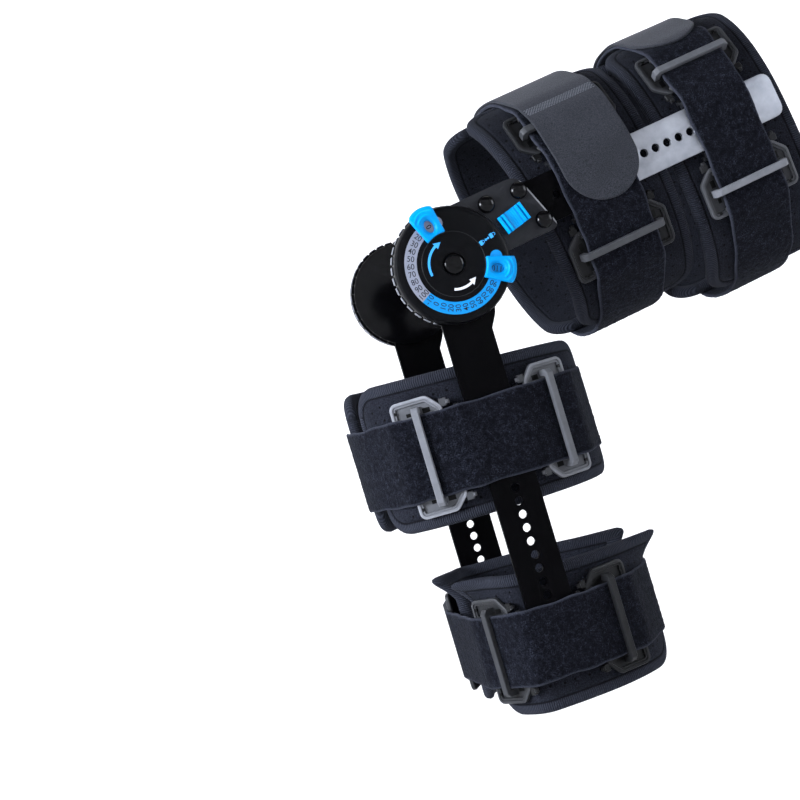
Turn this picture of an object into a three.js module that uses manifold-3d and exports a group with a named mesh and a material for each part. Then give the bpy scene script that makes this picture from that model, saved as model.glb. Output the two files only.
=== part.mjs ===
// Hinged range-of-motion knee brace: two dial hinges, straight side bars, and four padded cuffs with straps.
// Millimetres, +Z up. The origin is midway between the two hinges, on the knee axis, which lies along Y.
// The lateral hinge is on the -Y side. The knee is bent: the thigh rises to +X and the shin hangs down.
import * as THREE from 'three';
import { mergeVertices } from 'three/addons/utils/BufferGeometryUtils.js';
import Module from 'manifold-3d';

const wasm = await Module();
wasm.setup();

// Driving dimensions: limbs and cuffs
const THIGH_RISE = 26; // degrees that the thigh rises from +X
const SHIN_DROP = 73; // degrees that the shin drops from +X
const HALF_WIDTH = 66; // outer face of the pads, out from the middle of the leg
const SECTION_POWER = 2.4; // 2 is an ellipse, more is squarer
const GAP = 0.35; // clearance between touching pieces
const PAD_THICK = 7;
const PAD_CORNER = 20;
const PAD_EDGE = 3; // how far the outer face of a pad is rolled in at its edges
const STRAP_THICK = 2.2;
const TAB_THICK = 1.8;
const TAB_END_HALF = 2; // half the straight part at the round end of a hook tab

// Fineness of curved surfaces
const SECTION_STEPS = 240; // points on a section where lengths are measured
const HULL_STEP = 8; // degrees between the points of a section under a strap
const STRAP_SPACING = 1.5; // shortest side of a strap's loop
const MITRE_LIMIT = 0.5;
const PAD_STEPS = 9;
const CORNER_STEPS = 3;
const TAB_END_STEPS = 6;
const DOME_STEPS = 3;
const DISC_SIDES = 36;
const HOLE_SIDES = 10;
const PIVOT_SIDES = 14;
const OVERCUT = 1; // how far a cutting tool reaches past the piece
const ROOT = 1; // how far a joined piece reaches into the one that carries it

// Driving dimensions: hinge and bars, with heights counted outward from the middle of the leg
const BACK_PLATE = { inner: 66.4, outer: 69.2 };
const BAR = { inner: 69.5, outer: 72.5, width: 30, hole: 2.75, pitch: 8.5, endRadius: 7 };
const COVER = { inner: 72.8, plateTop: 77, faceTop: 81 };
const DIAL = { radius: 36, edgeDrop: 3, edgeRound: 4 };
const TOOTH_DISC = { radius: 36.8, notchDepth: 1.8, notchHalfAngle: 1.7, step: 10, plainHalfAngle: 30 };
const BACK_DISC_RADIUS = 35;
const PIVOT = { shaft: 4, head: 6, recess: 7, recessFloor: 79, domeBase: 81.4, dome: 83.4 };
const RIVET = { shaft: 2.6, head: 5.4, dome: 3.6 };
const RIVETS = [
  { along: 35.3, forward: 24.4 },
  { along: 57.5, forward: 23.9 },
  { along: 64.6, forward: 1.3 },
];
const PLATE_CORNERS = [
  { along: 10, forward: -6.6, radius: 0 },
  { along: 72.5, forward: -6.6, radius: 6 },
  { along: 60.4, forward: 33, radius: 8 },
  { along: 10, forward: 33, radius: 0 },
];
const SLIDER = {
  along: 47, forward: 9.8, length: 17.5, width: 12, bottom: 77.3, top: 80.6,
  rib: 1.6, groove: 1.4, grooveDepth: 1, valleyDepth: 1.2,
};
const STOP = {
  inner: 20, rim: 36.5, tip: 39.5, innerHalf: 6.3, outerHalf: 8.2, bottom: 81.3, top: 84.3, lip: 78,
  windowRadius: 26.8, windowLong: 3.9, windowShort: 2.8,
  ribRadius: 34.5, ribHalf: 0.8, ribLong: 12.4, ribHeight: 0.8,
};
const STOPS = [
  { name: 'lateral_extension_stop', angle: 100 },
  { name: 'lateral_flexion_stop', angle: -30 },
];
const UPPER_BAR = { start: 38, end: 108, line: 12.4, holes: [80.6] };
const EXTENSION_BAR = { start: 108.4, end: 242, line: 12.4, width: 29, firstHole: 143.6, holes: 5 };
const LOWER_BAR = { start: 20, end: 250, line: 1, firstHole: 139.5, holes: 9 };
const SHOULDER = { start: 24, widest: 33, end: 43, half: 20.5, radius: 4 };

// Driving dimensions: carriers and buckles
const CARRIER = {
  inner: 66.35, outer: 69.15, half: 19, lip: 3, underStrap: 1, lugReach: 21, lugLong: 4.6, lugInset: 3,
};
const BUCKLE = {
  width: 32, frameThick: 3, sideRail: 5, earLength: 9, corner: 7, slotMargin: 3.5,
  bridge: 4.4, bridgeThick: 3.2, bridgeLift: 3.3, bridgeOverhang: 5.6, foot: 4,
  lugReach: 6, lugLong: 5, lugMargin: 1, lugCorner: 2,
};

const FRAME_TOP = GAP + BUCKLE.frameThick;
const BRIDGE_TOP = FRAME_TOP + BUCKLE.bridgeLift + BUCKLE.bridgeThick;

// One row for each cuff: distances along the limb from the knee axis, forward offsets from that axis
const CUFFS = [
  { name: 'thigh_lower', limb: 'thigh', padStart: 64, padEnd: 157, strapMid: 108.5, strapWidth: 49, slant: 7,
    centre: 4, front: 80, rear: 80, barLine: 12.4, frontBuckle: 39.5, frontLean: 1, rearBuckle: 41.5 },
  { name: 'thigh_upper', limb: 'thigh', padStart: 161, padEnd: 250, strapMid: 202, strapWidth: 44, slant: 0,
    centre: -3, front: 88, rear: 88, barLine: 12.4, frontBuckle: 38.5, frontLean: 1, rearBuckle: 41.5 },
  { name: 'calf_upper', limb: 'shin', padStart: 59, padEnd: 151, strapMid: 107, strapWidth: 52, slant: 3,
    centre: -1, front: 75, rear: 75, barLine: 1, frontBuckle: 41.5, frontLean: 0.9, rearBuckle: 38.5 },
  { name: 'calf_lower', limb: 'shin', padStart: 191, padEnd: 278, strapMid: 235, strapWidth: 46, slant: 3,
    centre: 10, front: 26, rear: 92, barLine: 1, frontBuckle: 29, frontLean: 0.9, rearBuckle: 38.5 },
];
const PAD_FRONT_ANGLE = 14; // degrees round the section from the front of the limb to the front edge of a pad
const PAD_REAR_ANGLE = 164;

// One row for each hook tab, the smooth strap end that lies over the strap from the front of the limb.
// Its round end lies off the middle of the strap by the skew.
const HOOK_TABS = [
  { cuff: 'thigh_lower', from: -30, endForward: -6, width: 51, skew: 6, overBridge: true },
  { cuff: 'thigh_upper', from: -30, endForward: 68, width: 46, skew: 0, overBridge: false },
];

// Colours and finishes
const FINISHES = {
  black_plastic: { color: 0x17181b, roughness: 0.45, metalness: 0 },
  black_metal: { color: 0x131417, roughness: 0.5, metalness: 0.4 },
  bright_metal: { color: 0xb4b8bd, roughness: 0.4, metalness: 0.9 },
  glossy_black: { color: 0x0d0d10, roughness: 0.2, metalness: 0.2 },
  blue_plastic: { color: 0x1196f0, roughness: 0.4, metalness: 0 },
  grey_plastic: { color: 0x4b4d54, roughness: 0.5, metalness: 0 },
  foam_fabric: { color: 0x16171b, roughness: 0.9, metalness: 0 },
  loop_fabric: { color: 0x121319, roughness: 1, metalness: 0 },
  hook_fabric: { color: 0x26272b, roughness: 0.85, metalness: 0 },
};

const radians = THREE.MathUtils.degToRad;

// Solids that are joined or cut

function toSolid(geometry) {
  const bare = geometry.index ? geometry.toNonIndexed() : geometry.clone();
  bare.deleteAttribute('normal');
  bare.deleteAttribute('uv');
  const merged = mergeVertices(bare, 1e-3);
  return new wasm.Manifold(new wasm.Mesh({
    numProp: 3,
    vertProperties: merged.attributes.position.array,
    triVerts: new Uint32Array(merged.index.array),
  }));
}

function toGeometry(solid) {
  const made = solid.getMesh();
  const geometry = new THREE.BufferGeometry();
  geometry.setAttribute('position', new THREE.BufferAttribute(new Float32Array(made.vertProperties), 3));
  geometry.setIndex(new THREE.BufferAttribute(new Uint32Array(made.triVerts), 1));
  geometry.computeVertexNormals();
  return geometry;
}

function join(...geometries) {
  return toGeometry(geometries.map(toSolid).reduce((whole, piece) => whole.add(piece)));
}

function cut(geometry, ...tools) {
  return toGeometry(tools.map(toSolid).reduce((whole, tool) => whole.subtract(tool), toSolid(geometry)));
}

// Basic shapes in a limb's own axes: x along the limb, -y outward on the lateral side, z forward or backward

function plate(shape, inner, outer, curveSegments = 5) {
  const settings = { depth: outer - inner, bevelEnabled: false, curveSegments };
  return new THREE.ExtrudeGeometry(shape, settings).translate(0, 0, inner).rotateX(Math.PI / 2);
}

function turned(profile, segments) {
  const points = profile.map(([radius, height]) => new THREE.Vector2(radius, height));
  return new THREE.LatheGeometry(points, segments).rotateX(Math.PI);
}

function block(x0, x1, outward0, outward1, z0, z1) {
  const box = new THREE.BoxGeometry(x1 - x0, outward1 - outward0, z1 - z0);
  return box.translate((x0 + x1) / 2, -(outward0 + outward1) / 2, (z0 + z1) / 2);
}

function peg(x, z, radius, inner, outer, sides = HOLE_SIDES) {
  const shape = new THREE.Shape();
  shape.absarc(0, 0, radius, 0, Math.PI * 2);
  return plate(shape, inner, outer, sides / 2).translate(x, 0, z);
}

// A polygon whose corners are rounded, given as {x, y, radius}
function roundedPolygon(corners) {
  const shape = new THREE.Shape();
  corners.forEach((corner, i) => {
    const here = new THREE.Vector2(corner.x, corner.y);
    const before = corners[(i + corners.length - 1) % corners.length];
    const after = corners[(i + 1) % corners.length];
    const toward = (other) => new THREE.Vector2(other.x, other.y).sub(here).normalize();
    const start = here.clone().addScaledVector(toward(before), corner.radius);
    const end = here.clone().addScaledVector(toward(after), corner.radius);
    if (i === 0) shape.moveTo(start.x, start.y);
    else shape.lineTo(start.x, start.y);
    if (corner.radius > 0) shape.quadraticCurveTo(here.x, here.y, end.x, end.y);
  });
  shape.closePath();
  return shape;
}

function polygon(points) {
  return roundedPolygon(points.map(([x, y]) => ({ x, y, radius: 0 })));
}

function rectangle(x0, x1, y0, y1) {
  return polygon([[x0, y0], [x1, y0], [x1, y1], [x0, y1]]);
}

// A closed solid through rings of points, either capped at both ends or running round in a loop
function loft(rings, looped) {
  const size = rings[0].length;
  const index = [];
  const spans = looped ? rings.length : rings.length - 1;
  for (let i = 0; i < spans; i++) {
    const a = i * size;
    const b = ((i + 1) % rings.length) * size;
    for (let k = 0; k < size; k++) {
      const next = (k + 1) % size;
      index.push(a + k, b + k, b + next, a + k, b + next, a + next);
    }
  }
  if (!looped) {
    const last = (rings.length - 1) * size;
    for (let k = 1; k < size - 1; k++) {
      index.push(0, k, k + 1);
      index.push(last, last + k + 1, last + k);
    }
  }
  const points = rings.flat();
  let volume = 0;
  for (let i = 0; i < index.length; i += 3) {
    const [a, b, c] = [points[index[i]], points[index[i + 1]], points[index[i + 2]]];
    volume += a.dot(b.clone().cross(c));
  }
  if (volume < 0) index.reverse();
  const geometry = new THREE.BufferGeometry().setFromPoints(points);
  geometry.setIndex(index);
  geometry.computeVertexNormals();
  return geometry;
}

// The cross-section of a limb under a cuff, as points {forward, outward}

function sectionDepth(cuff, forward) {
  return forward > 0 ? cuff.front : cuff.rear;
}

function sectionPoint(cuff, angle, lift) {
  const power = 2 / SECTION_POWER;
  const c = Math.cos(angle);
  const s = Math.sin(angle);
  return {
    forward: cuff.centre + (sectionDepth(cuff, c) + lift) * Math.sign(c) * Math.abs(c) ** power,
    outward: (HALF_WIDTH + lift) * Math.sign(s) * Math.abs(s) ** power,
  };
}

function distance(a, b) {
  return Math.hypot(b.forward - a.forward, b.outward - a.outward);
}

// The place where a flat frame rests on the pad's outer face, with its outward normal.
// A lean of 1 lays the frame along the face, and less turns it towards the side of the leg.
// The frame stands no lower than a taut strap that comes off the edge of the carrier.
function seatOn(cuff, forward, lean) {
  const x = forward - cuff.centre;
  const depth = sectionDepth(cuff, x);
  const face = HALF_WIDTH * (1 - Math.abs(x / depth) ** SECTION_POWER) ** (1 / SECTION_POWER);
  const slope = Math.sign(x) * Math.abs(x) ** (SECTION_POWER - 1) / depth ** SECTION_POWER;
  const rise = face ** (SECTION_POWER - 1) / HALF_WIDTH ** SECTION_POWER;
  const tilt = lean * Math.atan2(slope, rise);
  const normal = { forward: Math.sin(tilt), outward: Math.cos(tilt) };
  const edge = cuff.barLine + Math.sign(forward - cuff.barLine) * CARRIER.half;
  let lift = (edge - forward) * normal.forward + (BAR.outer - face) * normal.outward - FRAME_TOP;
  lift = Math.max(lift, 0);
  for (let step = 1; step < SECTION_STEPS; step++) {
    const point = sectionPoint(cuff, Math.PI * step / SECTION_STEPS, 0);
    const df = point.forward - forward;
    const dw = point.outward - face;
    const across = df * normal.outward - dw * normal.forward;
    if (Math.abs(across) < BUCKLE.width / 2) lift = Math.max(lift, df * normal.forward + dw * normal.outward);
  }
  return { forward: forward + lift * normal.forward, outward: face + lift * normal.outward, normal };
}

function facing(cuff) {
  return cuff.limb === 'thigh' ? 1 : -1;
}

function inLimb(cuff, along, point) {
  return new THREE.Vector3(along, -point.outward, facing(cuff) * point.forward);
}

// Pads: curved foam panels with rounded corners, laid on the section

function padGeometry(cuff) {
  const angles = [];
  const lengths = [0];
  const first = radians(PAD_FRONT_ANGLE);
  const last = radians(PAD_REAR_ANGLE);
  for (let i = 0; i <= SECTION_STEPS; i++) angles.push(first + (last - first) * i / SECTION_STEPS);
  for (let i = 1; i <= SECTION_STEPS; i++) {
    const a = sectionPoint(cuff, angles[i - 1], 0);
    const b = sectionPoint(cuff, angles[i], 0);
    lengths.push(lengths[i - 1] + distance(a, b));
  }
  const total = lengths[SECTION_STEPS];
  const cornerSteps = [];
  for (let i = 0; i <= CORNER_STEPS; i++) {
    cornerSteps.push(PAD_CORNER * (1 - Math.cos(Math.PI / 2 * i / CORNER_STEPS)));
  }
  const stops = [...cornerSteps];
  for (let i = 1; i < PAD_STEPS; i++) stops.push(PAD_CORNER + (total - 2 * PAD_CORNER) * i / PAD_STEPS);
  stops.push(...cornerSteps.map((step) => total - step).reverse());
  const rings = stops.map((stop) => {
    const found = lengths.findIndex((length) => length >= stop - 1e-6);
    const angle = angles[found];
    const short = Math.max(0, PAD_CORNER - Math.min(stop, total - stop));
    const inset = PAD_CORNER - Math.sqrt(PAD_CORNER ** 2 - short ** 2);
    const slant = -cuff.slant * Math.cos(angle);
    const start = cuff.padStart + slant + inset;
    const end = cuff.padEnd - inset;
    const at = (along, lift) => inLimb(cuff, along, sectionPoint(cuff, angle, lift));
    return [
      at(start, -PAD_THICK), at(end, -PAD_THICK), at(end, -PAD_THICK / 2),
      at(end - PAD_EDGE, 0), at(start + PAD_EDGE, 0), at(start, -PAD_THICK / 2),
    ];
  });
  return loft(rings, false);
}

// Straps: taut bands round everything that they cross

function convexHull(points) {
  const sorted = [...points].sort((a, b) => a.forward - b.forward || a.outward - b.outward);
  const turn = (o, a, b) =>
    (a.forward - o.forward) * (b.outward - o.outward) - (a.outward - o.outward) * (b.forward - o.forward);
  const chain = (list) => {
    const kept = [];
    for (const point of list) {
      while (kept.length > 1 && turn(kept.at(-2), kept.at(-1), point) <= 1e-9) kept.pop();
      kept.push(point);
    }
    return kept.slice(0, -1);
  };
  return [...chain(sorted), ...chain(sorted.reverse())];
}

// Drops the points of a loop that lie closer together than the given spacing
function thinned(loop, spacing) {
  const kept = [loop[0]];
  for (const point of loop.slice(1)) {
    if (distance(kept.at(-1), point) > spacing) kept.push(point);
  }
  return kept;
}

// Moves every side of a convex loop outward by the same distance
function widened(loop, distance) {
  return loop.map((point, i) => {
    const before = loop[(i + loop.length - 1) % loop.length];
    const after = loop[(i + 1) % loop.length];
    const normalOf = (a, b) => new THREE.Vector2(b.outward - a.outward, a.forward - b.forward).normalize();
    const n0 = normalOf(before, point);
    const n1 = normalOf(point, after);
    const middle = n0.clone().add(n1).normalize();
    const reach = distance / Math.max(MITRE_LIMIT, middle.dot(n1));
    return { forward: point.forward + middle.x * reach, outward: point.outward + middle.y * reach };
  });
}

function mirrored(points) {
  return points.concat(points.map((point) => ({ forward: point.forward, outward: -point.outward })));
}

// A buckle's seat, and the corners of its frame or bridge in the section, as far out as the given heights
function buckleSeats(cuff) {
  return [
    seatOn(cuff, cuff.barLine + cuff.frontBuckle, cuff.frontLean),
    seatOn(cuff, cuff.barLine - cuff.rearBuckle, 1),
  ];
}

function crossCorners(seat, halfWidth, height) {
  const { normal } = seat;
  return [-1, 1].map((side) => ({
    forward: seat.forward + normal.forward * height + side * normal.outward * halfWidth,
    outward: seat.outward + normal.outward * height - side * normal.forward * halfWidth,
  }));
}

function strapInner(cuff) {
  const crossed = [];
  for (const side of [-1, 1]) {
    crossed.push({ forward: cuff.barLine + side * CARRIER.half, outward: BAR.outer });
    crossed.push({ forward: cuff.barLine + side * CARRIER.lugReach, outward: CARRIER.outer });
  }
  for (const seat of buckleSeats(cuff)) crossed.push(...crossCorners(seat, BUCKLE.width / 2, FRAME_TOP));
  for (let angle = 0; angle <= 180; angle += HULL_STEP) crossed.push(sectionPoint(cuff, radians(angle), 0));
  return widened(thinned(convexHull(mirrored(crossed)), STRAP_SPACING), GAP);
}

function strapGeometry(cuff) {
  const inner = strapInner(cuff);
  const outer = widened(inner, STRAP_THICK);
  const start = cuff.strapMid - cuff.strapWidth / 2;
  const end = cuff.strapMid + cuff.strapWidth / 2;
  const rings = inner.map((point, i) => [
    inLimb(cuff, start, point), inLimb(cuff, end, point),
    inLimb(cuff, end, outer[i]), inLimb(cuff, start, outer[i]),
  ]);
  return loft(rings, true);
}

// Points along an open stretch of a convex loop, close together near its round end
function stretchOf(loop, fromAngle, endForward, roundLength) {
  const angleOf = (point) => Math.atan2(point.outward, point.forward);
  const rotated = loop.map((point, i) => ({ i, angle: angleOf(point) })).sort((a, b) => a.angle - b.angle);
  const from = radians(fromAngle);
  const inside = ({ angle, i }) => angle >= from && angle < Math.PI && loop[i].forward >= endForward;
  const path = rotated.filter(inside);
  const points = path.map(({ i }) => loop[i]);
  const beyond = loop[rotated[rotated.findIndex(({ i }) => i === path.at(-1).i) + 1].i];
  const last = points.at(-1);
  const share = (last.forward - endForward) / (last.forward - beyond.forward);
  points.push({ forward: endForward, outward: last.outward + (beyond.outward - last.outward) * share });
  const lengths = [0];
  for (let i = 1; i < points.length; i++) {
    lengths.push(lengths[i - 1] + distance(points[i - 1], points[i]));
  }
  const total = lengths.at(-1);
  const rounds = [];
  for (let i = 0; i <= TAB_END_STEPS; i++) {
    rounds.push(total - roundLength * (1 - Math.sin(Math.PI / 2 * i / TAB_END_STEPS)));
  }
  const apart = (length) => rounds.every((round) => Math.abs(round - length) > GAP);
  const stations = [...lengths.filter(apart), ...rounds].sort((a, b) => a - b);
  return stations.map((length) => {
    const k = Math.max(1, lengths.findIndex((other) => other >= length - 1e-9));
    const part = (length - lengths[k - 1]) / (lengths[k] - lengths[k - 1]);
    const a = points[k - 1];
    const b = points[k];
    return {
      forward: a.forward + (b.forward - a.forward) * part,
      outward: a.outward + (b.outward - a.outward) * part,
      toEnd: total - length,
    };
  });
}

function hookTabGeometry(tab) {
  const cuff = CUFFS.find((row) => row.name === tab.cuff);
  const under = widened(strapInner(cuff), STRAP_THICK);
  const raised = tab.overBridge ? crossCorners(buckleSeats(cuff)[0], BUCKLE.bridge / 2, BRIDGE_TOP) : [];
  const inner = widened(thinned(convexHull([...under, ...raised]), STRAP_SPACING / 3), GAP);
  const half = tab.width / 2;
  const low = stretchOf(inner, tab.from, tab.endForward, half);
  const rings = low.map((point, i) => {
    const before = low[Math.max(0, i - 1)];
    const after = low[Math.min(low.length - 1, i + 1)];
    const way = new THREE.Vector2(after.forward - before.forward, after.outward - before.outward).normalize();
    const top = { forward: point.forward + way.y * TAB_THICK, outward: point.outward - way.x * TAB_THICK };
    const short = Math.max(0, half - point.toEnd);
    const reach = Math.max(TAB_END_HALF, Math.sqrt(half ** 2 - short ** 2));
    const mid = cuff.strapMid + tab.skew * (1 - point.toEnd / low[0].toEnd);
    const start = mid - reach;
    const end = mid + reach;
    return [
      inLimb(cuff, start, point), inLimb(cuff, end, point), inLimb(cuff, end, top), inLimb(cuff, start, top),
    ];
  });
  return loft(rings, false);
}

// Carriers: open channels behind the bars, with lugs towards the buckles

function carrierGeometry(cuff) {
  const half = cuff.strapWidth / 2 - CARRIER.underStrap;
  const z = (offset) => facing(cuff) * (cuff.barLine + offset);
  const across = (x0, x1, low, high, offset0, offset1) => {
    const edges = [z(offset0), z(offset1)].sort((a, b) => a - b);
    return block(x0, x1, low, high, ...edges);
  };
  const mid = cuff.strapMid;
  const parts = [across(mid - half, mid + half, CARRIER.inner, CARRIER.outer, -CARRIER.half, CARRIER.half)];
  for (const side of [-1, 1]) {
    const lip = side * (CARRIER.half - CARRIER.lip);
    parts.push(across(mid - half, mid + half, CARRIER.inner, BAR.outer, lip, side * CARRIER.half));
    for (const end of [-1, 1]) {
      const root = half - CARRIER.lugInset;
      const edges = [mid + end * root, mid + end * (root + CARRIER.lugLong)].sort((a, b) => a - b);
      const lugRoot = side * (CARRIER.half - ROOT);
      parts.push(across(...edges, CARRIER.inner, CARRIER.outer, lugRoot, side * CARRIER.lugReach));
    }
  }
  return join(...parts);
}

// Buckles: flat frames with a bridge over the strap. x is along the limb, y along the strap, z outward
function buckleGeometry(cuff, toCarrier) {
  const strapHalf = cuff.strapWidth / 2;
  const halfLong = strapHalf + BUCKLE.earLength;
  const halfWide = BUCKLE.width / 2;
  const slotLong = strapHalf + BUCKLE.slotMargin;
  const slotWide = halfWide - BUCKLE.sideRail;
  const lugInner = strapHalf + BUCKLE.lugMargin;
  const lugOuter = lugInner + BUCKLE.lugLong;
  const lugTip = halfWide + BUCKLE.lugReach;
  const endCorners = (end) => [
    { x: end * halfLong, y: -halfWide, radius: BUCKLE.corner },
    { x: end * halfLong, y: halfWide, radius: BUCKLE.lugCorner },
    { x: end * lugOuter, y: halfWide, radius: 0 }, { x: end * lugOuter, y: lugTip, radius: 0 },
    { x: end * lugInner, y: lugTip, radius: 0 }, { x: end * lugInner, y: halfWide, radius: 0 },
  ];
  const corners = [...endCorners(1), ...endCorners(-1).reverse()];
  const frameShape = roundedPolygon(corners.map(({ x, y, radius }) => ({ x, y: toCarrier * y, radius })));
  frameShape.holes.push(rectangle(-slotLong, slotLong, -slotWide, slotWide));
  const settings = { depth: BUCKLE.frameThick, bevelEnabled: false, curveSegments: 2 };
  const frame = new THREE.ExtrudeGeometry(frameShape, settings);
  const bridgeHalf = strapHalf + BUCKLE.bridgeOverhang;
  const bridgeLow = BUCKLE.frameThick + BUCKLE.bridgeLift;
  const bridgeHigh = bridgeLow + BUCKLE.bridgeThick;
  const footInner = bridgeHalf - BUCKLE.foot;
  const footLow = BUCKLE.frameThick - ROOT;
  const staple = polygon([
    [-bridgeHalf, footLow], [-footInner, footLow], [-footInner, bridgeLow], [footInner, bridgeLow],
    [footInner, footLow], [bridgeHalf, footLow], [bridgeHalf, bridgeHigh], [-bridgeHalf, bridgeHigh],
  ]);
  const bridge = new THREE.ExtrudeGeometry(staple, { depth: BUCKLE.bridge, bevelEnabled: false });
  bridge.rotateX(Math.PI / 2).translate(0, BUCKLE.bridge / 2, 0);
  return join(frame, bridge);
}

// Stands a buckle on the pad, square to the limb
function seatBuckle(mesh, cuff, seat) {
  const along = new THREE.Vector3(1, 0, 0);
  const normal = new THREE.Vector3(0, -seat.normal.outward, facing(cuff) * seat.normal.forward);
  const across = normal.clone().cross(along);
  mesh.quaternion.setFromRotationMatrix(new THREE.Matrix4().makeBasis(along, across, normal));
  mesh.position.copy(inLimb(cuff, cuff.strapMid, seat)).addScaledVector(normal, GAP);
}

// Hinge pieces

function plateShape() {
  const corners = PLATE_CORNERS.map(({ along, forward, radius }) => ({ x: along, y: forward, radius }));
  return roundedPolygon(corners);
}

function coverGeometry() {
  const { inner, plateTop, faceTop } = COVER;
  const { radius, edgeDrop, edgeRound } = DIAL;
  const hole = PIVOT.shaft + GAP;
  const dial = turned([
    [hole, inner], [radius, inner], [radius, faceTop - edgeDrop],
    [radius - edgeRound / 4, faceTop - edgeDrop / 3], [radius - edgeRound, faceTop],
    [PIVOT.recess, faceTop], [PIVOT.recess, PIVOT.recessFloor], [hole, PIVOT.recessFloor], [hole, inner],
  ], DISC_SIDES);
  const holes = RIVETS.map(({ along, forward }) =>
    peg(along, forward, RIVET.shaft + GAP, inner - OVERCUT, plateTop + OVERCUT));
  return cut(join(dial, plate(plateShape(), inner, plateTop)), ...holes);
}

// The profile of a low dome, from its rim to its top
function domeProfile(radius, base, height) {
  return Array.from({ length: DOME_STEPS + 1 }, (_, i) => {
    const angle = Math.PI / 2 * i / DOME_STEPS;
    return [i === DOME_STEPS ? 0 : radius * Math.cos(angle), base + height * Math.sin(angle)];
  });
}

function backPlateGeometry() {
  const { inner, outer } = BACK_PLATE;
  const disc = peg(0, 0, BACK_DISC_RADIUS, inner, outer, DISC_SIDES);
  const parts = [disc, plate(plateShape(), inner, outer)];
  const seat = COVER.plateTop + GAP;
  for (const { along, forward } of RIVETS) {
    const rivet = turned([
      [0, outer - ROOT], [RIVET.shaft, outer - ROOT], [RIVET.shaft, seat],
      ...domeProfile(RIVET.head, seat, RIVET.dome),
    ], HOLE_SIDES);
    parts.push(rivet.translate(along, 0, forward));
  }
  return join(...parts);
}

function pivotGeometry() {
  const foot = BACK_PLATE.outer + GAP;
  const seat = PIVOT.recessFloor + GAP;
  return turned([
    [0, foot], [PIVOT.shaft, foot], [PIVOT.shaft, seat], [PIVOT.head, seat],
    ...domeProfile(PIVOT.head, PIVOT.domeBase, PIVOT.dome - PIVOT.domeBase),
  ], PIVOT_SIDES);
}

function sliderGeometry() {
  const { length, width, bottom, top, rib, groove, grooveDepth, valleyDepth } = SLIDER;
  const half = length / 2;
  const grooveMid = half - rib - groove / 2;
  const valleyEnd = half - 2 * rib - groove;
  const shape = new THREE.Shape();
  shape.moveTo(-half, bottom);
  shape.lineTo(half, bottom);
  shape.lineTo(half, top);
  shape.lineTo(half - rib, top);
  shape.lineTo(grooveMid, top - grooveDepth);
  shape.lineTo(half - rib - groove, top);
  shape.lineTo(valleyEnd, top);
  shape.quadraticCurveTo(0, top - 2 * valleyDepth, -valleyEnd, top);
  shape.lineTo(rib + groove - half, top);
  shape.lineTo(-grooveMid, top - grooveDepth);
  shape.lineTo(rib - half, top);
  shape.lineTo(-half, top);
  shape.closePath();
  const geometry = new THREE.ExtrudeGeometry(shape, { depth: width, bevelEnabled: false, curveSegments: 6 });
  return geometry.translate(0, 0, -width / 2).rotateX(Math.PI);
}

function stopGeometry() {
  const { inner, rim, tip, innerHalf, outerHalf, bottom, top, lip, ribRadius, ribHalf } = STOP;
  const outline = new THREE.Shape();
  outline.moveTo(inner, -innerHalf);
  outline.lineTo(rim, -outerHalf);
  outline.bezierCurveTo(tip, -outerHalf, tip, -outerHalf / 2, tip, 0);
  outline.bezierCurveTo(tip, outerHalf / 2, tip, outerHalf, rim, outerHalf);
  outline.lineTo(inner, innerHalf);
  outline.closePath();
  const window = new THREE.Path();
  window.absellipse(STOP.windowRadius, 0, STOP.windowLong, STOP.windowShort, 0, Math.PI * 2);
  outline.holes.push(window);
  const overDial = peg(0, 0, rim, lip - OVERCUT, bottom, DISC_SIDES);
  const rib = new THREE.Shape();
  const ribSpread = Math.asin(STOP.ribLong / 2 / ribRadius);
  rib.absarc(0, 0, ribRadius + ribHalf, -ribSpread, ribSpread);
  rib.absarc(0, 0, ribRadius - ribHalf, ribSpread, -ribSpread, true);
  return join(cut(plate(outline, lip, top, 6), overDial), plate(rib, top - ROOT, top + STOP.ribHeight, 4));
}

// Bars

function barHoles(first, count, z) {
  return Array.from({ length: count }, (_, i) =>
    peg(first + i * BAR.pitch, z, BAR.hole, BAR.inner - OVERCUT, BAR.outer + OVERCUT));
}

function upperBarGeometry() {
  const { start, end, line, holes } = UPPER_BAR;
  const bar = block(start, end, BAR.inner, BAR.outer, line - BAR.width / 2, line + BAR.width / 2);
  const rivetHoles = RIVETS.slice(1).map(({ along, forward }) =>
    peg(along, forward, RIVET.shaft + GAP, BAR.inner - OVERCUT, BAR.outer + OVERCUT));
  return cut(bar, ...rivetHoles, ...barHoles(holes[0], holes.length, line));
}

function extensionBarGeometry() {
  const { start, end, line, width, firstHole, holes } = EXTENSION_BAR;
  const shape = roundedPolygon([
    { x: start, y: line - width / 2, radius: 0 }, { x: end, y: line - width / 2, radius: BAR.endRadius },
    { x: end, y: line + width / 2, radius: BAR.endRadius }, { x: start, y: line + width / 2, radius: 0 },
  ]);
  return cut(plate(shape, BAR.inner, BAR.outer), ...barHoles(firstHole, holes, line));
}

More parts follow.
